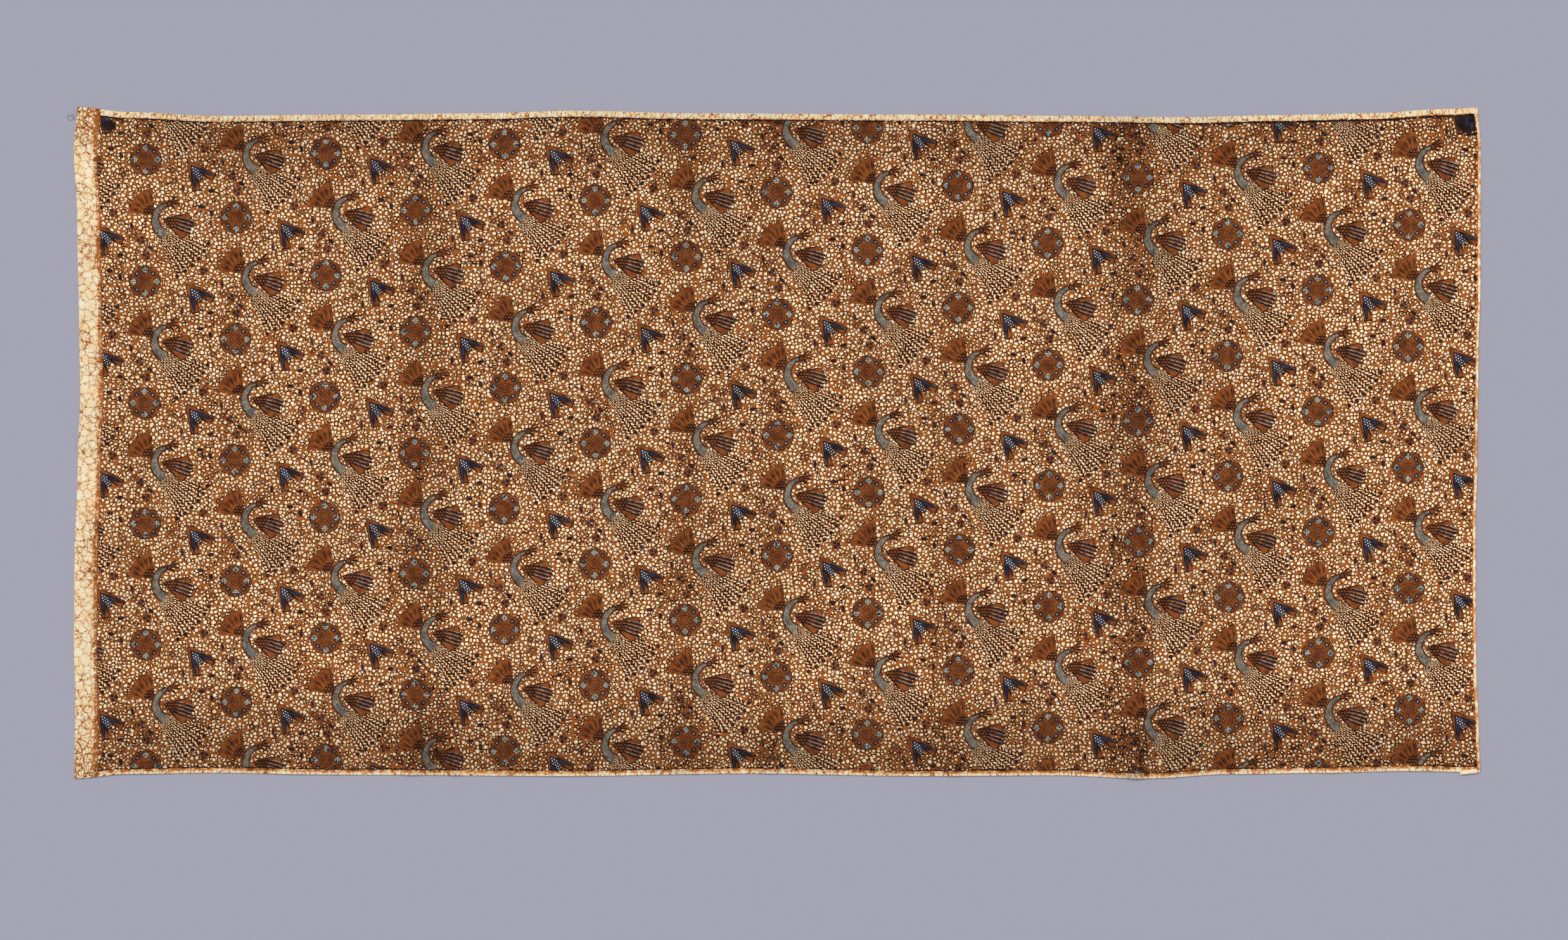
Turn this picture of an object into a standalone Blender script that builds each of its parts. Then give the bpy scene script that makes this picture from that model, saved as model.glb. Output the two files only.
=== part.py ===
"""Batik sarong cloth, laid out flat and open, as one length of cotton.

The cloth lies on its underside, a level face at z = 0. X runs along the
length of the cloth, Y across its width, Z up. The origin is at the middle of
the cloth's bounding rectangle, on the underside.

Two solids make the object:
  batik_cloth    the whole length of cloth, a wall with soft ridges where it
                 was folded for storage and where it ripples
  folded_corner  the short tab of selvedge that is turned over at one corner,
                 lying on the cloth and standing a little past its edge
"""

import math

import bmesh
import bpy

# ---------------------------------------------------------------- dimensions
LENGTH = 2.220          # over the two end edges, along X
WIDTH = 1.060           # selvedge to selvedge at the widest corners, along Y
WALL = 0.0012           # thickness of the cloth wall between ridges
GAP = 0.0003            # air between the cloth and what lies on it
COLUMN_STEP = 0.060     # spacing of the grid lines across the length
ROWS = 16               # grid cells from selvedge to selvedge

# The four edges wander in from the bounding rectangle. Each table has a row
# for each place where the edge changes direction.
# columns: distance from the left end, inset of the edge towards the middle
TOP_SELVEDGE = (
    (0.000, 0.0000),
    (0.080, 0.0080),
    (0.220, 0.0140),
    (0.430, 0.0120),
    (0.640, 0.0100),
    (0.785, 0.0060),
    (0.990, 0.0100),
    (1.340, 0.0120),
    (1.550, 0.0140),
    (1.760, 0.0160),
    (1.900, 0.0130),
    (2.040, 0.0100),
    (2.180, 0.0030),
    (2.220, 0.0010),
)
BOTTOM_SELVEDGE = (
    (0.000, 0.0000),
    (0.080, 0.0070),
    (0.220, 0.0090),
    (0.430, 0.0060),
    (0.780, 0.0040),
    (1.060, 0.0080),
    (1.340, 0.0040),
    (1.550, 0.0050),
    (1.690, 0.0000),
    (1.830, 0.0070),
    (1.970, 0.0090),
    (2.110, 0.0120),
    (2.220, 0.0100),
)
# columns: distance from the bottom selvedge, inset of the edge
LEFT_END = (
    (0.000, 0.0010),
    (0.115, 0.0020),
    (0.225, 0.0000),
    (0.335, 0.0010),
    (0.500, 0.0060),
    (0.610, 0.0100),
    (0.720, 0.0080),
    (0.885, 0.0050),
    (0.995, 0.0000),
    (1.060, 0.0050),
)
RIGHT_END = (
    (0.000, 0.0010),
    (0.060, 0.0030),
    (0.170, 0.0070),
    (0.280, 0.0080),
    (0.390, 0.0080),
    (0.500, 0.0055),
    (0.665, 0.0035),
    (0.775, 0.0005),
    (0.995, 0.0000),
    (1.060, 0.0050),
)

# Soft ridges that run from selvedge to selvedge.
# columns: name, X at the top selvedge, X at the bottom selvedge, half width,
#          height over the wall
RIDGES = (
    ("left_end_ripple", -0.927, -0.915, 0.024, 0.0006),
    ("left_ripple", -0.757, -0.770, 0.018, 0.0005),
    ("left_fold", -0.590, -0.575, 0.024, 0.0011),
    ("left_fold_twin", -0.520, -0.512, 0.018, 0.0006),
    ("inner_left_ripple", -0.337, -0.345, 0.020, 0.0005),
    ("centre_left_fold", -0.150, -0.128, 0.022, 0.0009),
    ("centre_ripple", 0.002, -0.010, 0.018, 0.0005),
    ("centre_right_ripple", 0.262, 0.275, 0.022, 0.0006),
    ("storage_fold", 0.566, 0.560, 0.026, 0.0014),
    ("storage_fold_twin", 0.622, 0.630, 0.018, 0.0006),
    ("right_fold", 0.860, 0.872, 0.024, 0.0008),
    ("right_end_ripple", 1.012, 1.004, 0.018, 0.0005),
)
MIDDLE_FOLD_Y = 0.010        # the lengthwise fold, halfway across
MIDDLE_FOLD_HALF = 0.040
MIDDLE_FOLD_HEIGHT = 0.0003

# The turned-over tab: a four-sided scrap of selvedge.
# columns: X, Y of each corner, anticlockwise from its outer left corner
TAB_CORNERS = (
    (1.0780, -0.5238),
    (1.1040, -0.5210),
    (1.1030, -0.5140),
    (1.0770, -0.5196),
)
TAB_WALL = 0.0010
TAB_CELLS = (8, 2)           # grid cells along and across the tab
TAB_CURL = 0.0006            # how far its free left end lifts


# ------------------------------------------------------------------ geometry
def read_table(table, at):
    """Smooth value of a two-column table: a cosine step between its rows."""
    if at <= table[0][0]:
        return table[0][1]
    for (a, low), (b, high) in zip(table, table[1:]):
        if at <= b:
            step = (1 - math.cos(math.pi * (at - a) / (b - a))) / 2
            return low + (high - low) * step
    return table[-1][1]


def place(u, v):
    """Plan position of the cloth's point u (0 left, 1 right), v (0 bottom, 1 top)."""
    along, across = u * LENGTH, v * WIDTH
    left = read_table(LEFT_END, across)
    right = read_table(RIGHT_END, across)
    bottom = read_table(BOTTOM_SELVEDGE, along)
    top = read_table(TOP_SELVEDGE, along)
    x = along - LENGTH / 2 + left * (1 - u) - right * u
    y = across - WIDTH / 2 + bottom * (1 - v) - top * v
    return x, y


def ridge_height(x, y):
    """Height of the ridges over the wall at a plan position."""
    v = y / WIDTH + 0.5
    height = 0.0
    for _, x_top, x_bottom, half, tall in RIDGES:
        off = abs(x - (x_bottom + (x_top - x_bottom) * v)) / half
        if off < 1:
            height = max(height, tall * (1 + math.cos(math.pi * off)) / 2)
    off = abs(y - MIDDLE_FOLD_Y) / MIDDLE_FOLD_HALF
    if off < 1:
        height += MIDDLE_FOLD_HEIGHT * (1 + math.cos(math.pi * off)) / 2
    return height


def grid_columns():
    """Fractions of the length: an even grid, with three lines at each ridge."""
    lines = []
    for _, x_top, x_bottom, half, _ in RIDGES:
        middle = (x_top + x_bottom) / 2
        lines += [middle - half, middle, middle + half]
    count = round(LENGTH / COLUMN_STEP)
    for i in range(count + 1):
        even = (i / count - 0.5) * LENGTH
        if i in (0, count) or min(abs(even - x) for x in lines) > COLUMN_STEP / 4:
            lines.append(even)
    return [x / LENGTH + 0.5 for x in sorted(lines)]


def grid_rows():
    """Fractions of the width: an even grid, with a line along the middle fold."""
    rows = [i / ROWS for i in range(ROWS + 1)]
    middle = MIDDLE_FOLD_Y / WIDTH + 0.5
    half = MIDDLE_FOLD_HALF / WIDTH
    rows += [middle - half, middle + half]
    rows[ROWS // 2] = middle
    return sorted(rows)


def closed_wall(name, low, high):
    """A closed body from two grids of points of the same shape, low under high."""
    bm = bmesh.new()
    under = [[bm.verts.new(p) for p in row] for row in low]
    over = [[bm.verts.new(p) for p in row] for row in high]
    m, n = len(low), len(low[0])
    for i in range(m - 1):
        for j in range(n - 1):
            bm.faces.new((over[i][j], over[i][j + 1], over[i + 1][j + 1], over[i + 1][j]))
            bm.faces.new((under[i][j], under[i + 1][j], under[i + 1][j + 1], under[i][j + 1]))
    rim = [(0, j) for j in range(n - 1)]
    rim += [(i, n - 1) for i in range(m - 1)]
    rim += [(m - 1, j) for j in range(n - 1, 0, -1)]
    rim += [(i, 0) for i in range(m - 1, 0, -1)]
    for (i, j), (k, q) in zip(rim, rim[1:] + rim[:1]):
        bm.faces.new((under[i][j], under[k][q], over[k][q], over[i][j]))
    bmesh.ops.recalc_face_normals(bm, faces=bm.faces)
    mesh = bpy.data.meshes.new(name)
    bm.to_mesh(mesh)
    bm.free()
    mesh.shade_smooth()
    mesh.set_sharp_from_angle(angle=math.radians(35))
    obj = bpy.data.objects.new(name, mesh)
    bpy.context.scene.collection.objects.link(obj)
    return obj


def cloth_material(name, colour, roughness):
    mat = bpy.data.materials.new(name)
    mat.use_nodes = True
    shader = mat.node_tree.nodes["Principled BSDF"]
    shader.inputs["Base Color"].default_value = (*colour, 1.0)
    shader.inputs["Roughness"].default_value = roughness
    shader.inputs["Metallic"].default_value = 0.0
    return mat


def make_cloth():
    low, high = [], []
    for v in grid_rows():
        plan = [place(u, v) for u in grid_columns()]
        low.append([(x, y, 0.0) for x, y in plan])
        high.append([(x, y, WALL + ridge_height(x, y)) for x, y in plan])
    cloth = closed_wall("batik_cloth", low, high)
    cloth.data.materials.append(cloth_material("batik_cotton", (0.36, 0.17, 0.07), 0.85))
    return cloth


def make_tab():
    cells_along, cells_across = TAB_CELLS
    a, b, c, d = TAB_CORNERS
    rest = WALL + GAP
    low, high = [], []
    for i in range(cells_across + 1):
        t = i / cells_across
        row = []
        for j in range(cells_along + 1):
            s = j / cells_along
            x = (a[0] * (1 - s) + b[0] * s) * (1 - t) + (d[0] * (1 - s) + c[0] * s) * t
            y = (a[1] * (1 - s) + b[1] * s) * (1 - t) + (d[1] * (1 - s) + c[1] * s) * t
            row.append((x, y, rest + TAB_CURL * (1 - s) ** 2))
        low.append(row)
        high.append([(x, y, z + TAB_WALL) for x, y, z in row])
    tab = closed_wall("folded_corner", low, high)
    tab.data.materials.append(cloth_material("undyed_cotton", (0.86, 0.70, 0.46), 0.88))
    return tab


def main():
    for obj in list(bpy.data.objects):
        bpy.data.objects.remove(obj, do_unlink=True)
    make_cloth()
    make_tab()


main()
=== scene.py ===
"""Looks for the batik sarong cloth: a thin cotton shell laid out flat, with its
wax-resist drawing, its folds and its worn, unhemmed edges.

Each stamp of the drawing is laid out here from short tables of points. The
cloth's mesh carries the drawing as cells of its own surface, and
the dye in each cell (checks, feathers, leaves, pebbles) is worked out by the
cloth's node material. Lengths in the tables of the drawing are millimetres.
"""
import math
import random
import bmesh
import bpy
import numpy as np
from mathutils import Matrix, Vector
from mathutils.geometry import delaunay_2d_cdt


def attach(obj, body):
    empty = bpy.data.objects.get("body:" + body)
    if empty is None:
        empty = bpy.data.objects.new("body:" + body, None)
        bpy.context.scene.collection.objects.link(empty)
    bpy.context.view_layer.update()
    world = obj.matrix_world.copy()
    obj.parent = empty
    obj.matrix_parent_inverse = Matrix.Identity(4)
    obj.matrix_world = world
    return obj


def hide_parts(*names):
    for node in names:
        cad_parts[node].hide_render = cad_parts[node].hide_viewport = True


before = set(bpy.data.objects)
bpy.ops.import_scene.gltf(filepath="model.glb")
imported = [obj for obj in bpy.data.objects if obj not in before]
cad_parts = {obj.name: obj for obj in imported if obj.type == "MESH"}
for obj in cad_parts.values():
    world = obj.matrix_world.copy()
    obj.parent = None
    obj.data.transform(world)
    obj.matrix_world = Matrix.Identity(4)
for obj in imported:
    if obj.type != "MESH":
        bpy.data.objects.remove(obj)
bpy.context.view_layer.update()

# ======================================================== the cloth's own sizes
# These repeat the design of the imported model, in metres.
LENGTH = 2.220
WIDTH = 1.060
WALL = 0.0012
GAP = 0.0003
# columns: distance from the left end, inset of the edge towards the middle
TOP_SELVEDGE = (
    (0.000, 0.0000), (0.080, 0.0080), (0.220, 0.0140), (0.430, 0.0120), (0.640, 0.0100),
    (0.785, 0.0060), (0.990, 0.0100), (1.340, 0.0120), (1.550, 0.0140), (1.760, 0.0160),
    (1.900, 0.0130), (2.040, 0.0100), (2.180, 0.0030), (2.220, 0.0010),
)
BOTTOM_SELVEDGE = (
    (0.000, 0.0000), (0.080, 0.0070), (0.220, 0.0090), (0.430, 0.0060), (0.780, 0.0040),
    (1.060, 0.0080), (1.340, 0.0040), (1.550, 0.0050), (1.690, 0.0000), (1.830, 0.0070),
    (1.970, 0.0090), (2.110, 0.0120), (2.220, 0.0100),
)
# columns: distance from the bottom selvedge, inset of the edge
LEFT_END = (
    (0.000, 0.0010), (0.115, 0.0020), (0.225, 0.0000), (0.335, 0.0010), (0.500, 0.0060),
    (0.610, 0.0100), (0.720, 0.0080), (0.885, 0.0050), (0.995, 0.0000), (1.060, 0.0050),
)
RIGHT_END = (
    (0.000, 0.0010), (0.060, 0.0030), (0.170, 0.0070), (0.280, 0.0080), (0.390, 0.0080),
    (0.500, 0.0055), (0.665, 0.0035), (0.775, 0.0005), (0.995, 0.0000), (1.060, 0.0050),
)
# Ridges and creases that run from selvedge to selvedge.
# columns: X at the top selvedge, X at the bottom selvedge, half width, height
RIDGES = (
    (-0.927, -0.915, 0.024, 0.0008),
    (-0.757, -0.770, 0.018, 0.0006),
    (-0.590, -0.575, 0.024, 0.0017),
    (-0.520, -0.512, 0.018, 0.0009),
    (-0.337, -0.345, 0.020, 0.0007),
    (-0.150, -0.128, 0.022, 0.0014),
    (0.002, -0.010, 0.018, 0.0007),
    (0.262, 0.275, 0.022, 0.0009),
    (0.566, 0.560, 0.026, 0.0022),
    (0.622, 0.630, 0.018, 0.0009),
    (0.860, 0.872, 0.024, 0.0012),
    (1.012, 1.004, 0.018, 0.0007),
)
MIDDLE_FOLD = (0.010, 0.030, 0.0007)     # Y, half width, height
# Short soft ripples that cross the cloth at a slant.
# columns: X, Y of the middle, length, half width, height, slant in degrees
RIPPLES = (
    (-1.020, 0.330, 0.30, 0.020, 0.0009, 78),
    (-0.985, -0.300, 0.42, 0.024, 0.0010, 97),
    (-0.860, 0.060, 0.34, 0.018, 0.0006, 84),
    (-0.690, 0.260, 0.46, 0.022, 0.0010, 81),
    (-0.650, -0.320, 0.30, 0.020, 0.0008, 102),
    (-0.440, 0.140, 0.36, 0.024, 0.0008, 86),
    (-0.420, -0.350, 0.28, 0.020, 0.0009, 74),
    (-0.250, 0.330, 0.34, 0.020, 0.0010, 98),
    (-0.215, -0.180, 0.44, 0.022, 0.0007, 83),
    (-0.060, -0.330, 0.26, 0.020, 0.0009, 70),
    (0.080, 0.280, 0.40, 0.022, 0.0010, 95),
    (0.130, -0.260, 0.34, 0.020, 0.0008, 80),
    (0.345, 0.150, 0.36, 0.024, 0.0009, 88),
    (0.400, -0.330, 0.30, 0.018, 0.0010, 104),
    (0.480, 0.350, 0.28, 0.020, 0.0008, 76),
    (0.700, -0.140, 0.44, 0.022, 0.0010, 92),
    (0.740, 0.330, 0.30, 0.020, 0.0009, 82),
    (0.800, -0.390, 0.20, 0.018, 0.0010, 66),
    (0.940, 0.160, 0.40, 0.024, 0.0010, 99),
    (0.960, -0.280, 0.34, 0.020, 0.0008, 85),
    (1.060, 0.380, 0.22, 0.016, 0.0009, 72),
)
SHELL = 0.0007            # thickness of the cotton shell at its edge

# ============================================================ drawing helpers
STEP_ACROSS = (142.6, -89.5)     # to the same place in the next column of stamps
STEP_DOWN = (0.0, -191.6)        # to the same place in the stamp below
FIRST_FLOWER = (111.0, 976.0)    # mm from the left end and from the bottom selvedge

# dyes and drawn fields; a cell of the drawing holds one of these
GROUND, CREAM, BROWN, INK, NAVY, GLINT = 0, 1, 2, 3, 4, 5
LINE, NECK, LEAVES, SCALES, CURL, BLADE = 6, 7, 8, 9, 10, 11
DOT, BODY, STAR, BUD, PETAL, DIAMOND, MEDAL, EYE = 12, 13, 14, 15, 16, 17, 18, 19
FEATHERS = 20
HALF_CODE = 40.0                 # a cell's own width is stored as kind + width / 40


def curve(points, per=2, closed=False):
    """A smooth line through the points, with per steps between two of them."""
    n = len(points)
    out = []
    for i in range(n if closed else n - 1):
        if closed:
            a, b, c, d = (points[(i + k) % n] for k in (-1, 0, 1, 2))
        else:
            b, c = points[i], points[i + 1]
            a = points[i - 1] if i else (2 * b[0] - c[0], 2 * b[1] - c[1])
            d = points[i + 2] if i + 2 < n else (2 * c[0] - b[0], 2 * c[1] - b[1])
        for k in range(per):
            t = k / per
            out.append(tuple(
                0.5 * (2 * b[m] + (c[m] - a[m]) * t
                       + (2 * a[m] - 5 * b[m] + 4 * c[m] - d[m]) * t * t
                       + (3 * b[m] - a[m] - 3 * c[m] + d[m]) * t ** 3)
                for m in range(2)))
    if not closed:
        out.append(tuple(points[-1]))
    return out


def edges_of(line, half):
    """The two edges of a line; half is its half width, a function of 0..1."""
    n = len(line)
    left, right = [], []
    for i, (x, y) in enumerate(line):
        a, b = line[max(i - 1, 0)], line[min(i + 1, n - 1)]
        dx, dy = b[0] - a[0], b[1] - a[1]
        size = math.hypot(dx, dy) or 1.0
        h = half(i / (n - 1))
        left.append((x + dy / size * h, y - dx / size * h))
        right.append((x - dy / size * h, y + dx / size * h))
    return left, right


def strip(line, half, field=None, kind=LINE, along_scale=1.0):
    """A row of quads along a line, with u the run along it, v the distance off
    its middle, and w the half width of what is drawn in it."""
    field = field or half
    left, right = edges_of(line, half)
    n = len(line) - 1
    run = [0.0]
    for a, b in zip(line, line[1:]):
        run.append(run[-1] + math.dist(a, b) * along_scale)
    cells = []
    for i in range(n):
        s, t = i / n, (i + 1) / n
        hs, ht = half(s), half(t)
        fs, ft = field(s), field(t)
        cells.append(([left[i], left[i + 1], right[i + 1], right[i]],
                      [(run[i], hs, fs), (run[i + 1], ht, ft),
                       (run[i + 1], -ht, ft), (run[i], -hs, fs)]))
    return [(kind, cells)]


def pen(points, thick, thin=None, halo=1.0, per=2, kind=LINE):
    """An ink line with brown beside it; it thins from thick to thin."""
    thin = thick if thin is None else thin
    line = curve(list(points), per)
    ink = lambda t: (thick + (thin - thick) * t) / 2
    return strip(line, lambda t: ink(t) + halo, ink, kind)


def leaf_pen(points, thick, thin=0.5, halo=0.5, per=2, kind=LINE):
    """An ink line that swells in its middle."""
    line = curve(list(points), per)
    ink = lambda t: (thin + (thick - thin) * math.sin(math.pi * t) ** 0.6) / 2
    return strip(line, lambda t: ink(t) + halo, ink, kind)


def patch(kind, points, size=1.0):
    """A filled outline; its field coordinates are the points themselves."""
    return [(kind, [(list(points), [(x, y, size) for x, y in points])])]


def ring(n, rx, ry=None, turn=0.0, x=0.0, y=0.0):
    ry = rx if ry is None else ry
    c, s = math.cos(turn), math.sin(turn)
    out = []
    for i in range(n):
        a = 2 * math.pi * i / n
        u, v = rx * math.cos(a), ry * math.sin(a)
        out.append((x + u * c - v * s, y + u * s + v * c))
    return out


def moved(shapes, x=0.0, y=0.0, turn=0.0, size=1.0, flip=False):
    """Shapes turned, scaled and put in place; their fields stay their own."""
    c, s = math.cos(turn) * size, math.sin(turn) * size

    def at(p):
        u, v = (-p[0], p[1]) if flip else p
        return (x + u * c - v * s, y + u * s + v * c)

    return [(kind, [([at(p) for p in points], uvw) for points, uvw in cells])
            for kind, cells in shapes]


# ================================================================ the drawing
# One repeat, in millimetres from the middle of its flower, X to the right and
# Y down the cloth. Each motif is built by rule from a few round sizes: arcs,
# fans and mirrored wings. A later shape covers an earlier one.
FLOWER = dict(heart=9.0, out=18.0, lobe=9.0)          # radii and reach of a flower
NECK_ARC = dict(x=40.0, y=94.0, radius=25.0, start=112.0, stop=256.0, thick=7.0, thin=2.0)
RAISED = dict(x=14.0, y=87.0, reach=44.0, start=184.0, stop=264.0, feathers=5)
FRONT = dict(x=25.0, y=93.0, reach=46.0, start=-12.0, stop=44.0, feathers=4)
TAIL = dict(x=36.0, y=113.0, ribs=6, start=9.0, spread=46.0, bend=13.0, long=66.0, pitch=5.8)
MOTH = dict(x=80.0, y=20.0, turn=0.9, long=40.0, splay=24.0)
FILLERS = 13                                          # small motifs in one repeat


def polar(x, y, r, degrees):
    a = math.radians(degrees)
    return (x + r * math.cos(a), y + r * math.sin(a))


def fan(size, n, lobes, scallop, inner=0.0, outer=1.0):
    """The outline of a fan: its root, then a scalloped edge from start to stop."""
    out = [polar(size["x"], size["y"], size["reach"] * inner, (size["start"] + size["stop"]) / 2)]
    for i in range(n + 1):
        t = i / n
        r = size["reach"] * outer * (1 - scallop + scallop * abs(math.sin(math.pi * lobes * t)))
        out.append(polar(size["x"], size["y"], r, size["start"] + (size["stop"] - size["start"]) * t))
    return out


def flower():
    """Four checked diamonds and four petals by turns round a ringed heart."""
    shapes = patch(INK, ring(16, FLOWER["out"] + 7.4)) + patch(BROWN, ring(16, FLOWER["out"] + 6.0))
    for k in range(8):
        a = math.pi / 4 * k
        x, y = FLOWER["out"] * math.cos(a), FLOWER["out"] * math.sin(a)
        if k % 2:
            lobe = patch(PETAL, ring(8, FLOWER["lobe"], turn=math.pi / 8))
        else:
            half = FLOWER["lobe"]
            lobe = patch(DIAMOND, [(half, 0.0), (0.0, half), (-half, 0.0), (0.0, -half)])
        shapes += moved(lobe, x, y, a)
    return shapes + patch(MEDAL, ring(12, FLOWER["heart"]))


def neck():
    """A crescent of dots, widest at the breast."""
    g = NECK_ARC
    line = [polar(g["x"], g["y"], g["radius"], g["stop"] + (g["start"] - g["stop"]) * i / 8) for i in range(9)]
    half = lambda t: g["thin"] + (g["thick"] - g["thin"]) * t
    return strip(line, lambda t: half(t) + 2.4, half, NECK)


def raised_wing():
    """A round fan with scales at its root and a line down each feather."""
    g = RAISED
    shapes = patch(INK, fan(g, 15, g["feathers"], 0.10, -0.03, 1.035))
    shapes += patch(BROWN, fan(g, 15, g["feathers"], 0.10))
    step = (g["stop"] - g["start"]) / g["feathers"]
    for k in range(g["feathers"]):
        at = g["start"] + step * (k + 0.5)
        for side, first, last in ((0.0, 0.46, 0.88), (0.32, 0.58, 0.80)):
            shapes += leaf_pen([polar(g["x"], g["y"], g["reach"] * r, at + step * side + 5 * (r - 0.5))
                                for r in (first, (first + last) / 2, last)], 2.0 - side, 0.5, 0.2, 1)
        x, y = polar(g["x"], g["y"], g["reach"] + 2.0, at)
        shapes += moved(patch(CURL, [(-3.7, -3.7), (3.7, -3.7), (3.7, 3.7), (-3.7, 3.7)], 0.0),
                        x, y, math.radians(at))
    return shapes + patch(SCALES, fan(g, 6, 1, 0.0, 0.02, 0.42), 1.0)


def head():
    """A round head on the neck's end, with a beak and a crest of three plumes."""
    x, y = polar(NECK_ARC["x"], NECK_ARC["y"], NECK_ARC["radius"], NECK_ARC["stop"] + 8)
    shapes = []
    for k in range(3):
        at = -62.0 + 24.0 * k
        shapes += leaf_pen([polar(x, y, r, at + r) for r in (4.0, 10.0, 17.0)], 2.4, 0.7, 0.9, 1)
    shapes += leaf_pen([polar(x, y, 3.0, 28.0), polar(x, y, 12.0, 40.0)], 3.6, 0.6, 0.4, 2)
    return shapes + moved(patch(EYE, ring(8, 4.8, 5.4)), x, y, 0.2)


def front_wing():
    """A folded wing: scales on the shoulder, long blades behind them."""
    g = FRONT
    shapes = patch(INK, fan(g, 12, 3, 0.08, 0.0, 1.035)) + patch(BROWN, fan(g, 12, 3, 0.08))
    middle = (g["start"] + g["stop"]) / 2
    line = [polar(g["x"], g["y"], r, middle - 4 + r * 0.08) for r in (18.0, 30.0, 42.0, 54.0)]
    shapes += strip(line, lambda t: 7.0 + 5.0 * math.sin(math.pi * (0.10 + 0.6 * t)), kind=FEATHERS)
    for at in (g["start"], g["stop"]):
        shapes += leaf_pen([polar(g["x"], g["y"], r, at) for r in (6.0, 24.0, 42.0)], 2.2, 0.8, 0.3, 1)
    return shapes + patch(SCALES, fan(g, 6, 1, 0.0, 0.04, 0.50), 1.0)


def tail():
    """Ribs that fan out from the breast, with herringbone leaves between them."""
    g = TAIL
    lines = []
    for k in range(g["ribs"]):
        share = k / (g["ribs"] - 1)
        x, y = g["x"] - 17.0 * share, g["y"] + 12.0 * share
        line, at = [(x, y)], g["start"] + g["spread"] * share
        for i in range(8):
            x, y = polar(x, y, g["long"] / 8, at + g["bend"] * i / 7)
            line.append((x, y))
        lines.append(line)
    shapes = []
    for a, b in zip(lines, lines[1:]):
        cells, run = [], 0.0
        for i in range(len(a) - 1):
            mid0 = ((a[i][0] + b[i][0]) / 2, (a[i][1] + b[i][1]) / 2)
            mid1 = ((a[i + 1][0] + b[i + 1][0]) / 2, (a[i + 1][1] + b[i + 1][1]) / 2)
            step = math.dist(mid0, mid1) / g["pitch"]
            w0, w1 = math.dist(a[i], b[i]) / 2, math.dist(a[i + 1], b[i + 1]) / 2
            cells.append(([a[i], a[i + 1], b[i + 1], b[i]],
                          [(run, w0, w0), (run + step, w1, w1), (run + step, -w1, w1), (run, -w0, w0)]))
            run += step
        shapes.append((LEAVES, cells))
    for line in lines:
        shapes += moved(small(DOT, 3.6, 3.6), line[-1][0], line[-1][1], 0.4)
    return shapes


def moth():
    """Two pairs of wings, one the mirror of the other, on a spotted body."""
    long, splay = MOTH["long"], MOTH["splay"]
    side = [polar(-18.0, 0.0, r * long, -a) for r, a in ((0.20, 60), (0.62, 34), (1.06, 30), (1.10, 14), (0.74, 8))]
    whole = [(-22.0, 0.0)] + side + [(x, -y) for x, y in reversed(side)]
    shapes = patch(INK, [(x * 1.06, y * 1.10) for x, y in whole]) + patch(BROWN, whole)
    for sign in (-1, 1):
        fore = [polar(-15.0, 0.0, r * long, sign * (splay + 4 * r)) for r in (0.12, 0.55, 1.0)]
        hind = [polar(-15.0, 0.0, r * long, sign * (splay - 9)) for r in (0.35, 0.65, 0.92)]
        shapes += leaf_pen(fore, 7.0, 1.0, 0.2, 2, BLADE) + leaf_pen(hind, 3.4, 0.8, 0.2, 1)
        shapes += leaf_pen([(-21.0, 0.0), polar(-21.0, 0.0, 8.0, 180 - sign * 40)], 1.2, 0.5, 0.2, 1)
    return shapes + patch(BODY, ring(10, 15.0, 5.2))


def small(kind, rx, ry):
    """One filling motif as a four-sided patch, its field scaled to radius 4."""
    if kind == BLADE:
        return leaf_pen([(-rx, 0.6), (0.0, -0.2), (rx, 0.0)], ry * 1.2, 0.8, 1.2, 1, BLADE)
    box = ((-1, -1), (1, -1), (1, 1), (-1, 1))
    return [(kind, [([(x * rx, y * ry) for x, y in box], [(x * 4.2, y * 4.2, 0.0) for x, y in box])])]


def swaying(points, sway=2.3):
    """The same line with a bend to one side, then the other, between its points."""
    out = [points[0]]
    for k, (a, b) in enumerate(zip(points, points[1:])):
        dx, dy = b[0] - a[0], b[1] - a[1]
        size, side = math.hypot(dx, dy), (sway if k % 2 else -sway)
        out += [((a[0] + b[0]) / 2 - dy / size * side, (a[1] + b[1]) / 2 + dx / size * side), b]
    return out


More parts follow.
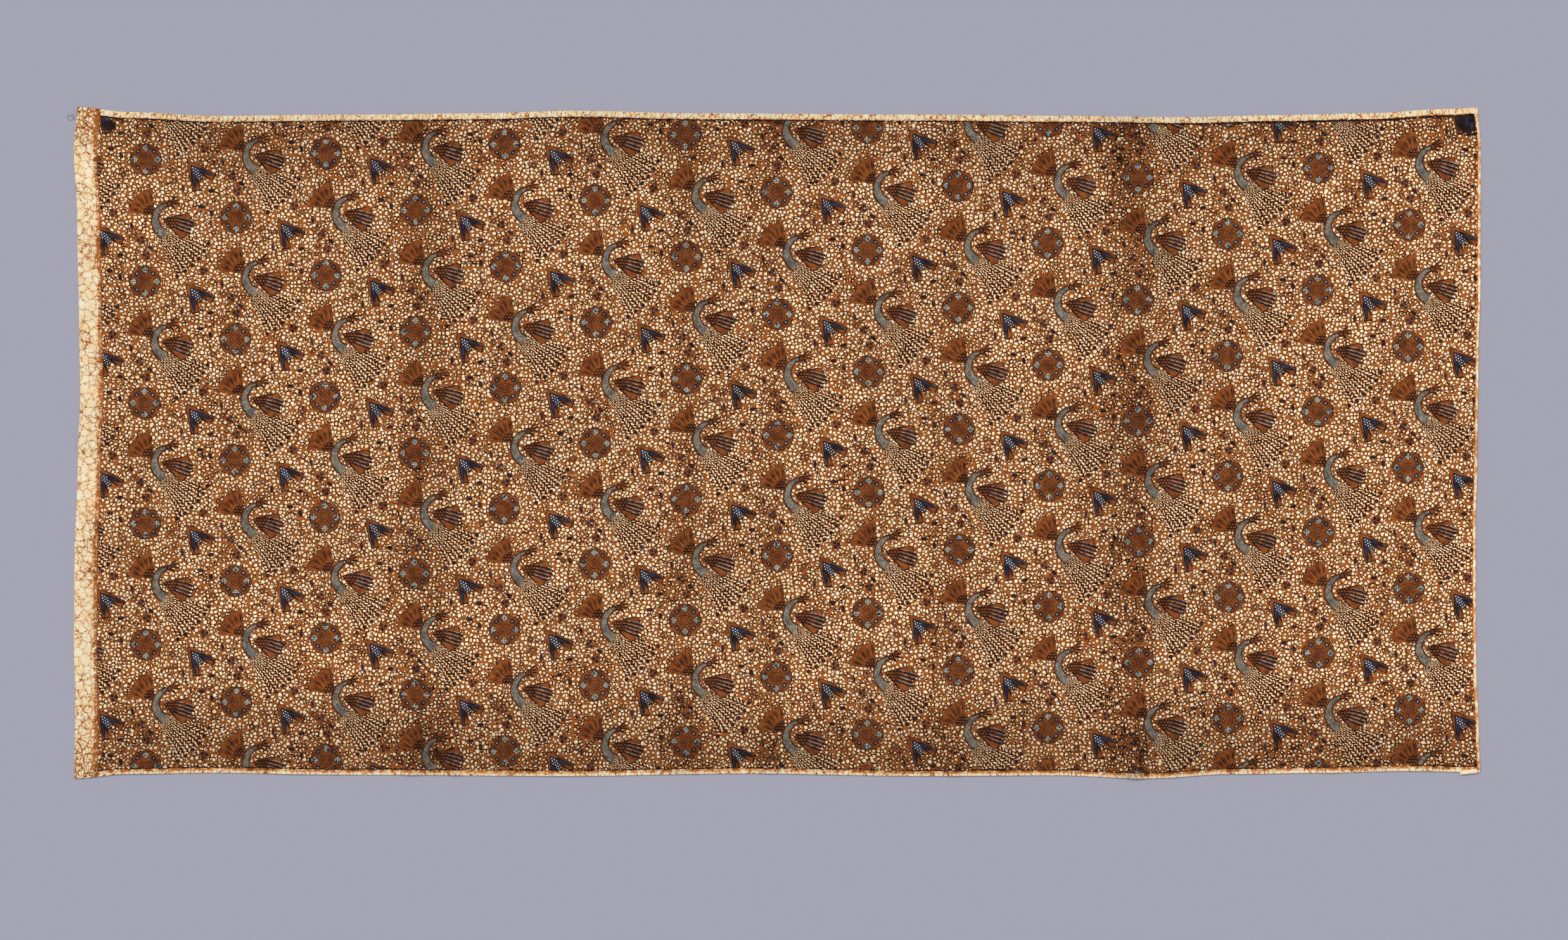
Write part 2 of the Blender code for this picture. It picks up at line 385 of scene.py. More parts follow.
def fillers(shapes):
    """Small motifs where the drawing leaves most room, each with a tendril that
    runs off towards open ground."""
    rng = random.Random(5)
    taken = []
    for _, cells in shapes:
        for points, _ in cells:
            cx = sum(p[0] for p in points) / len(points)
            cy = sum(p[1] for p in points) / len(points)
            taken += [(cx, cy)] + list(points)
            if len(points) > 4:
                taken += [((cx + x) / 2, (cy + y) / 2) for x, y in points]
    ax, ay = STEP_ACROSS[0], -STEP_ACROSS[1]
    down = -STEP_DOWN[1]
    images = [(i * ax, i * ay + j * down) for i in (-1, 0, 1) for j in (-2, -1, 0, 1, 2)]

    def room(p, points):
        near = np.array([(x + dx, y + dy) for x, y in points for dx, dy in images])
        return float(np.min(np.hypot(near[:, 0] - p[0], near[:, 1] - p[1])))

    tries = [(ax * s, ay * s + down * t) for s, t in ((rng.random(), rng.random()) for _ in range(420))]
    free = [room(p, taken) for p in tries]
    kinds = (BUD, STAR, DOT, BLADE, STAR, DOT)
    sizes = {BUD: (7.5, 7.5), STAR: (6.0, 6.0), DOT: (6.0, 3.4), BLADE: (6.5, 3.4)}
    out = []
    for k in range(FILLERS):
        best = max(range(len(tries)), key=lambda i: free[i])
        x, y = tries[best]
        kind = kinds[k % len(kinds)]
        turn = rng.uniform(0, math.pi)
        out += moved(small(kind, *sizes[kind]), x, y, turn)
        own = [(x, y)]
        reach = rng.uniform(20.0, 28.0)
        ways = [(room(polar(x, y, reach, 22.5 * m), taken) + room(polar(x, y, reach * 0.6, 22.5 * m), taken), m)
                for m in range(16)]
        if max(ways)[0] > 9.0:
            at = 22.5 * max(ways)[1]
            line = [polar(x, y, 6.0, at), polar(x, y, reach * 0.6, at + 8), polar(x, y, reach, at - 6)]
            out = pen(swaying(line, 2.2), 1.6, 1.0, 0.3, 1) + out
            tip = line[-1]
            if k % 2 == 0:
                out += moved(patch(CURL, [(-3.7, -3.7), (3.7, -3.7), (3.7, 3.7), (-3.7, 3.7)], 0.0),
                             tip[0], tip[1], math.radians(at + 120))
            own += line
        taken += own
        free = [min(f, room(p, own)) for f, p in zip(free, tries)]
    return out


def one_repeat():
    main_motifs = tail() + moved(moth(), MOTH["x"], MOTH["y"], MOTH["turn"])
    main_motifs += raised_wing() + front_wing() + neck() + head() + flower()
    shapes = fillers(main_motifs) + main_motifs
    # turn Y the cloth's way, up
    return [(kind, [([(x, -y) for x, y in points], uvw) for points, uvw in cells])
            for kind, cells in shapes]


# ================================================= the drawing as cells of mesh
def signed_area(points):
    return 0.5 * sum(a[0] * b[1] - b[0] * a[1] for a, b in zip(points, points[1:] + points[:1]))


def in_quad(quad, p):
    """Where p lies in a four-sided cell: (along 0..1, across 0..1)."""
    s, t = 0.5, 0.5
    a, b, c, d = quad
    for _ in range(6):
        x = (a[0] * (1 - s) + b[0] * s) * (1 - t) + (d[0] * (1 - s) + c[0] * s) * t - p[0]
        y = (a[1] * (1 - s) + b[1] * s) * (1 - t) + (d[1] * (1 - s) + c[1] * s) * t - p[1]
        xs = (b[0] - a[0]) * (1 - t) + (c[0] - d[0]) * t
        ys = (b[1] - a[1]) * (1 - t) + (c[1] - d[1]) * t
        xt = (d[0] - a[0]) * (1 - s) + (c[0] - b[0]) * s
        yt = (d[1] - a[1]) * (1 - s) + (c[1] - b[1]) * s
        det = xs * yt - xt * ys
        if abs(det) < 1e-9:
            break
        s -= (x * yt - xt * y) / det
        t -= (xs * y - x * ys) / det
        s, t = min(max(s, -0.2), 1.2), min(max(t, -0.2), 1.2)
    return s, t


def field_at(points, uvw, p):
    """The field coordinates of a cell at p."""
    if len(points) == 4:
        s, t = in_quad(points, p)
        a, b, c, d = uvw
        return tuple((a[k] * (1 - s) + b[k] * s) * (1 - t) + (d[k] * (1 - s) + c[k] * s) * t
                     for k in range(3))
    # an affine map through three of the outline's corners
    n = len(points)
    p0, p1, p2 = points[0], points[n // 3], points[(2 * n) // 3]
    q0, q1, q2 = uvw[0], uvw[n // 3], uvw[(2 * n) // 3]
    det = (p1[0] - p0[0]) * (p2[1] - p0[1]) - (p2[0] - p0[0]) * (p1[1] - p0[1])
    l1 = ((p[0] - p0[0]) * (p2[1] - p0[1]) - (p2[0] - p0[0]) * (p[1] - p0[1])) / det
    l2 = ((p1[0] - p0[0]) * (p[1] - p0[1]) - (p[0] - p0[0]) * (p1[1] - p0[1])) / det
    return tuple(q0[k] + l1 * (q1[k] - q0[k]) + l2 * (q2[k] - q0[k]) for k in range(3))


CELL_CORNER = (-30.0, 60.0)      # where the repeat's own parallelogram starts
GROUND_GRID = (10, 13)           # grid points of the plain ground in one repeat


def boundary_loop(tri):
    """The outer edge of the triangles as one ordered run of vertices."""
    edges = np.concatenate([tri[:, [0, 1]], tri[:, [1, 2]], tri[:, [2, 0]]])
    seen = set(map(tuple, edges.tolist()))
    after = {a: b for a, b in seen if (b, a) not in seen}
    start = min(after)
    loop, k = [start], after[start]
    while k != start:
        loop.append(k)
        k = after[k]
    return loop, len(after)


def repeat_mesh():
    """The triangles of one repeat. Gives its vertices, triangles, a row of three
    (u, v, kind code) for each triangle, and for each vertex its partner: the
    vertex that it is once the repeats are set side by side, and the steps to it."""
    shapes = one_repeat()
    ax, ay = STEP_ACROSS
    bx, by = STEP_DOWN
    ox, oy = CELL_CORNER

    def lattice(p):
        """p as steps across and down from the parallelogram's corner."""
        across = (p[0] - ox) / ax
        return across, ((p[1] - oy) - across * ay) / by

    def at_steps(s, t):
        return (ox + s * ax + t * bx, oy + s * ay + t * by)

    placed = []
    for kind, shape_cells in shapes:
        for i in (-1, 0, 1, 2):
            for j in (-2, -1, 0, 1, 2):
                dx, dy = i * ax + j * bx, i * ay + j * by
                for points, uvw in shape_cells:
                    pts = [(x + dx, y + dy) for x, y in points]
                    where = [lattice(p) for p in pts]
                    if (max(w[0] for w in where) < -0.001 or min(w[0] for w in where) > 1.001
                            or max(w[1] for w in where) < -0.001 or min(w[1] for w in where) > 1.001
                            or abs(signed_area(pts)) < 0.02):
                        continue
                    placed.append((kind, pts, uvw))
    taken = np.array([p for _, pts, _ in placed for p in pts])
    rng = random.Random(7)
    loose = []
    for i in range(GROUND_GRID[0]):
        for j in range(GROUND_GRID[1]):
            p = at_steps((i + 0.5 + rng.uniform(-0.15, 0.15)) / GROUND_GRID[0],
                         (j + 0.5 + rng.uniform(-0.15, 0.15)) / GROUND_GRID[1])
            if np.min(np.hypot(taken[:, 0] - p[0], taken[:, 1] - p[1])) > 6.0:
                loose.append(p)

    # cuts of the parallelogram's sides: even steps, then where the drawing meets them
    cut_s = [k / 10 for k in range(11)]
    cut_t = [k / 13 for k in range(14)]
    for _ in range(4):
        verts, faces, cells, index = [], [], [], {}

        def vert(p):
            key = (round(p[0], 3), round(p[1], 3))
            if key not in index:
                index[key] = len(verts)
                verts.append(p)
            return index[key]

        outline = [at_steps(s, 0) for s in cut_s[:-1]] + [at_steps(1, t) for t in cut_t[:-1]]
        outline += [at_steps(s, 1) for s in cut_s[:0:-1]] + [at_steps(0, t) for t in cut_t[:0:-1]]
        if signed_area(outline) < 0:
            outline.reverse()
        faces.append([vert(p) for p in outline])
        cells.append(None)
        for kind, pts, uvw in placed:
            ids = [vert(p) for p in pts]
            clean = [c for k, c in enumerate(ids) if c != ids[k - 1]]
            if len(set(clean)) != len(clean) or len(clean) < 3:
                continue
            if signed_area(pts) < 0:
                clean.reverse()
            faces.append(clean)
            cells.append((kind, pts, uvw))
        for p in loose:
            vert(p)
        out = delaunay_2d_cdt([Vector(v) for v in verts], [], faces, 1, 0.004, True)
        points = [(v[0], v[1]) for v in out[0]]
        inner = [(f[0], f[k], f[k + 1]) for f, src in zip(out[2], out[5]) if 0 in src for k in range(1, len(f) - 1)]
        loop, _ = boundary_loop(np.array(inner))
        steps = {c: lattice(points[c]) for c in loop}
        # the four corners, then the four sides between them
        corner = [min(loop, key=lambda c: math.hypot(steps[c][0] - s, steps[c][1] - t))
                  for s, t in ((0, 0), (1, 0), (1, 1), (0, 1))]
        start = loop.index(corner[0])
        loop = loop[start:] + loop[:start]
        if loop.index(corner[1]) > loop.index(corner[3]):
            loop = [loop[0]] + loop[:0:-1]
        c1, c2, c3 = (loop.index(c) for c in corner[1:])
        low_t = [(steps[c][0], c) for c in loop[:c1 + 1]]
        high_s = [(steps[c][1], c) for c in loop[c1:c2 + 1]]
        high_t = [(steps[c][0], c) for c in loop[c2:c3 + 1]][::-1]
        low_s = [(steps[c][1], c) for c in loop[c3:] + loop[:1]][::-1]
        if len(low_t) == len(high_t) and len(low_s) == len(high_s):
            break

        def joined(*lists):
            out_cuts = []
            for x in sorted(v for pairs in lists for v, _ in pairs):
                x = min(max(x, 0.0), 1.0)
                if not out_cuts or x - out_cuts[-1] > 1e-4:
                    out_cuts.append(x)
            out_cuts[0], out_cuts[-1] = 0.0, 1.0
            return out_cuts

        cut_s, cut_t = joined(low_t, high_t), joined(low_s, high_s)
    partner = {}
    for (_, a), (_, b) in zip(low_t, high_t):
        partner[b] = (a, 0, 1)
    for (_, a), (_, b) in zip(low_s, high_s):
        partner[b] = (a, 1, 0)
    first = low_t[0][1]
    partner[first] = (first, 0, 0)
    partner[low_t[-1][1]] = (first, 1, 0)
    partner[high_t[0][1]] = (first, 0, 1)
    partner[high_t[-1][1]] = (first, 1, 1)
    tris, draw = [], []
    for face, sources in zip(out[2], out[5]):
        if 0 not in sources:
            continue
        top = max(sources)
        for k in range(1, len(face) - 1):
            tri = (face[0], face[k], face[k + 1])
            row = [(0.0, 0.0, 0.0)] * 3
            if top:
                kind, cell_points, uvw = cells[top]
                row = []
                for c in tri:
                    u, v, w = field_at(cell_points, uvw, points[c])
                    row.append((u, v, kind + min(max(w, 0.0), 12.0) / HALF_CODE))
            tris.append(tri)
            draw.append(row)
    print("repeat: triangles", len(tris), "sides", len(low_t), len(high_t), len(low_s), len(high_s))
    print("repeat: widest gap", max(max(abs(a[0] - b[0]) for a, b in zip(low_t, high_t)),
                                    max(abs(a[0] - b[0]) for a, b in zip(low_s, high_s))))
    return points, tris, draw, partner


def drift(x, y):
    """Where a place in the even lattice of stamps really lies, in millimetres:
    stamps set down by hand wander by two or three millimetres."""
    return (x + 1.6 * np.sin(x / 190.0 + 0.7) + 1.2 * np.sin(y / 140.0 + x / 300.0),
            y + 1.8 * np.sin(x / 170.0 + 2.0) + 1.1 * np.sin(y / 160.0 + 0.4))


def on_the_flat(x, y):
    """The place on the flat cloth that comes to lie at a plan position."""
    x, y = x / 1000, y / 1000
    along, across = x.copy(), y.copy()
    for _ in range(4):
        px, py = place(along, across)
        along -= px + LENGTH / 2 - x
        across -= py + WIDTH / 2 - y
    return np.stack([along, across], 1) * 1000


def clipped(poly, width, length):
    """A polygon of (x, y, u, v, code) rows cut to the cloth's rectangle."""
    for axis, limit, sign in ((0, 0.0, 1), (0, length, -1), (1, 0.0, 1), (1, width, -1)):
        out = []
        for k, b in enumerate(poly):
            a = poly[k - 1]
            fa, fb = (a[axis] - limit) * sign, (b[axis] - limit) * sign
            if (fa < 0) != (fb < 0):
                t = fa / (fa - fb)
                mix = [a[m] + (b[m] - a[m]) * t for m in range(5)]
                mix[axis] = limit
                out.append(mix)
            if fb >= 0:
                out.append(b)
        poly = out
        if len(poly) < 3:
            return []
    return poly


def drawn_rectangle():
    """The whole flat cloth as triangles, in millimetres from its lower left corner."""
    points, tris, draw, partner = repeat_mesh()
    points, tris, draw = np.array(points), np.array(tris), np.array(draw)
    who = np.array([partner.get(k, (k, 0, 0)) for k in range(len(points))])
    length, width = LENGTH * 1000, WIDTH * 1000
    ids, all_draw = [], []
    for i in range(-3, 20):
        for j in range(-22, 9):
            dx = FIRST_FLOWER[0] + i * STEP_ACROSS[0] + j * STEP_DOWN[0]
            dy = FIRST_FLOWER[1] + i * STEP_ACROSS[1] + j * STEP_DOWN[1]
            lo = points.min(0) + (dx, dy)
            hi = points.max(0) + (dx, dy)
            if hi[0] < -6 or lo[0] > length + 6 or hi[1] < -6 or lo[1] > width + 6:
                continue
            mark = (who[:, 0] * 100 + who[:, 1] + i + 40) * 100 + who[:, 2] + j + 40
            ids.append(mark[tris])
            all_draw.append(draw)
    marks, tri = np.unique(np.concatenate(ids).reshape(-1), return_inverse=True)
    tri = tri.reshape(-1, 3)
    drw = np.concatenate(all_draw)
    base, i, j = marks // 10000, (marks // 100) % 100 - 40, marks % 100 - 40
    xy = points[base] + FIRST_FLOWER + i[:, None] * np.array(STEP_ACROSS) + j[:, None] * np.array(STEP_DOWN)
    xy = on_the_flat(*drift(xy[:, 0], xy[:, 1]))
    inside = (xy[:, 0] >= 0) & (xy[:, 0] <= length) & (xy[:, 1] >= 0) & (xy[:, 1] <= width)
    count = inside[tri].sum(1)
    keep = count == 3
    keep_tri, keep_draw = tri[keep], drw[keep]
    tx, ty = xy[tri][:, :, 0], xy[tri][:, :, 1]
    near = ~keep & (tx.max(1) > 0) & (tx.min(1) < length) & (ty.max(1) > 0) & (ty.min(1) < width)
    verts = [tuple(p) for p in xy]
    index = {}
    edge_tri, edge_draw = [], []

    def vert(p):
        key = (round(p[0], 3), round(p[1], 3))
        if key not in index:
            index[key] = len(verts)
            verts.append(key)
        return index[key]

    for t, d in zip(tri[near], drw[near]):
        poly = [[*xy[t[k]], *d[k]] for k in range(3)]
        old = {(round(float(xy[k][0]), 3), round(float(xy[k][1]), 3)): int(k) for k in t}
        poly = clipped(poly, width, length)
        ids, rows = [], []
        for p in poly:
            key = (round(p[0], 3), round(p[1], 3))
            ids.append(old[key] if key in old else vert(p))
            rows.append(p[2:])
        for k in range(1, len(ids) - 1):
            if len({ids[0], ids[k], ids[k + 1]}) == 3:
                edge_tri.append((ids[0], ids[k], ids[k + 1]))
                edge_draw.append((rows[0], rows[k], rows[k + 1]))
    tri = np.concatenate([keep_tri, np.array(edge_tri)])
    drw = np.concatenate([keep_draw, np.array(edge_draw)])
    verts = np.array(verts)
    used, inverse = np.unique(tri.reshape(-1), return_inverse=True)
    return verts[used], inverse.reshape(-1, 3), drw


# =============================================================== cloth's shape
def table_at(table, at):
    """Smooth values of a two-column table: cosine steps between its rows."""
    xs = np.array([r[0] for r in table])
    ys = np.array([r[1] for r in table])
    at = np.clip(at, xs[0], xs[-1])
    k = np.clip(np.searchsorted(xs, at, side="right") - 1, 0, len(xs) - 2)
    t = (at - xs[k]) / (xs[k + 1] - xs[k])
    return ys[k] + (ys[k + 1] - ys[k]) * (1 - np.cos(np.pi * t)) / 2


def place(along, across):
    """Plan position of a place on the flat cloth, in metres."""
    u, v = along / LENGTH, across / WIDTH
    left, right = table_at(LEFT_END, across), table_at(RIGHT_END, across)
    bottom, top = table_at(BOTTOM_SELVEDGE, along), table_at(TOP_SELVEDGE, along)
    return (along - LENGTH / 2 + left * (1 - u) - right * u,
            across - WIDTH / 2 + bottom * (1 - v) - top * v)


def bump_of(off):
    off = np.clip(np.abs(off), 0, 1)
    return (1 + np.cos(np.pi * off)) / 2


def height_at(x, y):
    """Height of the shell's upper side over the floor at a plan position."""
    v = y / WIDTH + 0.5
    tall = np.zeros_like(x)
    for x_top, x_bottom, half, high in RIDGES:
        middle = x_bottom + (x_top - x_bottom) * v + 0.004 * np.sin(y * 17.0 + x_top * 40.0)
        swell = 0.65 + 0.35 * np.sin(y * 9.0 + x_top * 23.0)
        tall = np.maximum(tall, high * swell * bump_of((x - middle) / half))
    tall = tall + MIDDLE_FOLD[2] * bump_of((y - MIDDLE_FOLD[0]) / MIDDLE_FOLD[1])
    for cx, cy, long, half, high, slant in RIPPLES:
        a = math.radians(slant)
        s = (x - cx) * math.cos(a) + (y - cy) * math.sin(a)
        t = -(x - cx) * math.sin(a) + (y - cy) * math.cos(a) + 0.02 * np.sin(s * 9.0 + cx * 31.0)
        tall = tall + high * bump_of(s / (long / 2)) * bump_of(t / half)
    slow = (np.sin(x * 23.0 + 1.7 * np.sin(y * 6.1)) * np.sin(y * 11.0 + 1.3 * np.sin(x * 5.3)) + 1) / 2
    return WALL + 0.0005 * slow + tall


def normals_at(x, y):
    e = 0.0005
    dx = (height_at(x + e, y) - height_at(x - e, y)) / (2 * e)
    dy = (height_at(x, y + e) - height_at(x, y - e)) / (2 * e)
    n = np.stack([-dx, -dy, np.ones_like(dx)], 1)
    return n / np.linalg.norm(n, axis=1, keepdims=True)


def make_cloth():
    """The thin shell: the drawn upper side, a plainer underside and its rim."""
    flat, tri, draw = drawn_rectangle()
    loop, open_edges = boundary_loop(tri)
    print("cloth: triangles", len(tri), "boundary", len(loop), open_edges)
    x, y = place(flat[:, 0] / 1000, flat[:, 1] / 1000)
    z = height_at(x, y)
    top_normals = normals_at(x, y)
    # the underside: the same rim and a coarse grid
    rim = [(float(flat[k][0]), float(flat[k][1])) for k in loop]
    if signed_area(rim) < 0:
        rim.reverse()
        loop = loop[::-1]
    grid = [(gx, gy) for gx in np.arange(25.0, LENGTH * 1000 - 10, 30.0)
            for gy in np.arange(25.0, WIDTH * 1000 - 10, 30.0)]
    out = delaunay_2d_cdt([Vector(p) for p in rim + grid], [], [list(range(len(rim)))], 1, 1e-5, True)
    low_flat = np.array([(v[0], v[1]) for v in out[0]])
    vert_from = out[3]
    low_tri = [f for f in out[2]]
    lx, ly = place(low_flat[:, 0] / 1000, low_flat[:, 1] / 1000)
    rest = 0.00004
    # lie on the floor at the edge and where the cloth is level; follow the ridges above
    lz = np.maximum(height_at(lx, ly) - SHELL - 0.0012, rest)
    n_top = len(flat)
    coords = np.concatenate([np.stack([x, y, z], 1), np.stack([lx, ly, lz], 1)])
    rim_of = {}
    for k, sources in enumerate(vert_from):
        for s in sources:
            if s < len(rim):
                rim_of[s] = k
    faces = tri.tolist() + [[n_top + f[0], n_top + f[2], n_top + f[1]] for f in low_tri]
    n_low = len(faces)
    m = len(rim)
    for k in range(m):
        a, b = loop[k], loop[(k + 1) % m]
        c, d = n_top + rim_of[k], n_top + rim_of[(k + 1) % m]
        faces += [[a, c, d], [a, d, b]]
    faces = np.array(faces)
    print("cloth: all triangles", len(faces))
    mesh = bpy.data.meshes.new("batik_cloth_shell")
    mesh.vertices.add(len(coords))
    mesh.vertices.foreach_set("co", coords.astype(np.float32).reshape(-1))
    mesh.loops.add(len(faces) * 3)
    mesh.loops.foreach_set("vertex_index", faces.reshape(-1).astype(np.int32))
    mesh.polygons.add(len(faces))
    mesh.polygons.foreach_set("loop_start", np.arange(0, len(faces) * 3, 3, dtype=np.int32))
    mesh.update(calc_edges=True)
    mesh.validate()
    drawn = np.zeros((len(faces), 3, 3), dtype=np.float32)
    drawn[:len(tri)] = draw
    layer = mesh.attributes.new("draw", "FLOAT_VECTOR", "CORNER")
    layer.data.foreach_set("vector", drawn.reshape(-1))
    at = np.zeros((len(coords), 3), dtype=np.float32)
    at[:n_top, :2] = flat
    at[n_top:, :2] = low_flat
    layer = mesh.attributes.new("cloth_at", "FLOAT_VECTOR", "POINT")
    layer.data.foreach_set("vector", at.reshape(-1))
    mesh.shade_smooth()
    normals = np.zeros((len(coords), 3), dtype=np.float32)
    normals[:n_top] = top_normals
    normals[n_top:] = -normals_at(lx, ly)
    corner = normals[faces.reshape(-1)]
    # the rim faces outwards, level
    for k in range(m):
        f = n_low + 2 * k
        a, b = coords[loop[k]], coords[loop[(k + 1) % m]]
        out_dir = np.array([b[1] - a[1], a[0] - b[0], 0.0])
        out_dir /= np.linalg.norm(out_dir) or 1.0
        corner[3 * f:3 * f + 6] = out_dir
    mesh.normals_split_custom_set(corner.tolist())
    obj = bpy.data.objects.new("batik_cloth_shell", mesh)
    bpy.context.scene.collection.objects.link(obj)
    return obj


# ================================================================== materials
class Sum:
    """A value in a node tree that can be added, scaled and compared."""

    def __init__(self, tree, socket):
        self.tree, self.socket = tree, socket

    def _node(self, operation, *others, clamp=False):
        node = self.tree.nodes.new("ShaderNodeMath")
        node.operation = operation
        node.use_clamp = clamp
        for slot, value in zip(node.inputs, (self, *others)):
            if isinstance(value, Sum):
                self.tree.links.new(value.socket, slot)
            else:
                slot.default_value = float(value)
        return Sum(self.tree, node.outputs[0])

    def __add__(self, o): return self._node("ADD", o)
    def __sub__(self, o): return self._node("SUBTRACT", o)
    def __mul__(self, o): return self._node("MULTIPLY", o)
    def __truediv__(self, o): return self._node("DIVIDE", o)
    def __lt__(self, o): return self._node("LESS_THAN", o)
    def __gt__(self, o): return self._node("GREATER_THAN", o)
    def __neg__(self): return self * -1.0
    def __radd__(self, o): return self + o
    def __rmul__(self, o): return self * o
    def rsub(self, o): return self * -1.0 + o
    def abs(self): return self._node("ABSOLUTE")
    def fract(self): return self._node("FRACT")
    def floor(self): return self._node("FLOOR")
    def round(self): return self._node("ROUND")
    def power(self, o): return self._node("POWER", o)
    def root(self): return self._node("SQRT")
    def sine(self): return self._node("SINE")
    def atan2(self, o): return self._node("ARCTAN2", o)
    def min(self, o): return self._node("MINIMUM", o)
    def max(self, o): return self._node("MAXIMUM", o)
    def clamp(self): return self._node("ADD", 0.0, clamp=True)
    def is_near(self, o, gap=0.45): return self._node("COMPARE", o, gap)
    def odd(self): return (self * 0.5).fract() > 0.25

    def ramp(self, low, high):
        """0 below low, 1 above high, smooth between."""
        node = self.tree.nodes.new("ShaderNodeMapRange")
        node.interpolation_type = "SMOOTHSTEP"
        self.tree.links.new(self.socket, node.inputs["Value"])
        node.inputs["From Min"].default_value = low
        node.inputs["From Max"].default_value = high
        return Sum(self.tree, node.outputs["Result"])


def pick(test, yes, no):
    """yes where test is 1, no where it is 0."""
    if not isinstance(yes, Sum) and not isinstance(no, Sum):
        return test * (yes - no) + no
    if isinstance(yes, Sum):
        return test * (yes - no) + no
    return no + test * (no.rsub(yes))


class Tree:
    def __init__(self, name):
        self.mat = bpy.data.materials.new(name)
        self.mat.use_nodes = True
        self.tree = self.mat.node_tree
        self.shader = self.tree.nodes["Principled BSDF"]

    def node(self, kind, **settings):
        node = self.tree.nodes.new(kind)
        for key, value in settings.items():
            setattr(node, key, value)
        return node

    def link(self, a, b):
        self.tree.links.new(a.socket if isinstance(a, Sum) else a, b)

    def vector(self, x, y, z=0.0):
        node = self.node("ShaderNodeCombineXYZ")
        for slot, value in zip(node.inputs, (x, y, z)):
            if isinstance(value, Sum):
                self.link(value, slot)
            else:
                slot.default_value = value
        return node.outputs[0]

    def split(self, socket):
        node = self.node("ShaderNodeSeparateXYZ")
        self.link(socket, node.inputs[0])
        return [Sum(self.tree, s) for s in node.outputs]

    def noise(self, at, scale, detail=2.0, rough=0.5, dims="2D"):
        node = self.node("ShaderNodeTexNoise", noise_dimensions=dims)
        self.link(at, node.inputs["Vector"])
        node.inputs["Scale"].default_value = scale
        node.inputs["Detail"].default_value = detail
        node.inputs["Roughness"].default_value = rough
        return Sum(self.tree, node.outputs[0])

    def voronoi(self, at, scale, feature, random_=1.0, out="Distance", dims="2D"):
        node = self.node("ShaderNodeTexVoronoi", feature=feature, voronoi_dimensions=dims)
        self.link(at, node.inputs["Vector"])
        node.inputs["Scale"].default_value = scale
        node.inputs["Randomness"].default_value = random_
        return node

    def mix(self, factor, a, b, blend="MIX"):
        """Colours a to b; each is a socket or a colour."""
        node = self.node("ShaderNodeMix", data_type="RGBA", blend_type=blend)
        node.clamp_factor = True
        sockets = [s for s in node.inputs if s.enabled]
        self.link(factor, sockets[0])
        for slot, value in ((sockets[1], a), (sockets[2], b)):
            if isinstance(value, tuple):
                slot.default_value = (*value, 1.0)
            else:
                self.link(value, slot)
        return [s for s in node.outputs if s.enabled][0]


def linear(code):
    """A colour written as six hex digits, in linear light."""
    out = []
    for k in (0, 2, 4):
        c = int(code[k:k + 2], 16) / 255
        out.append(c / 12.92 if c <= 0.04045 else ((c + 0.055) / 1.055) ** 2.4)
    return tuple(out)


# Where the cloth was folded: painted shade darkens the colour along each crease.
# columns: mm from the left end, half width, how dark
FOLDS = (
    (552.0, 62.0, 0.9),
    (966.0, 50.0, 0.6),
    (1092.0, 40.0, 0.45),
    (1380.0, 40.0, 0.45),
    (1668.0, 66.0, 1.3),
)
PEBBLE = 6.3                     # mm from one pebble of the ground to the next


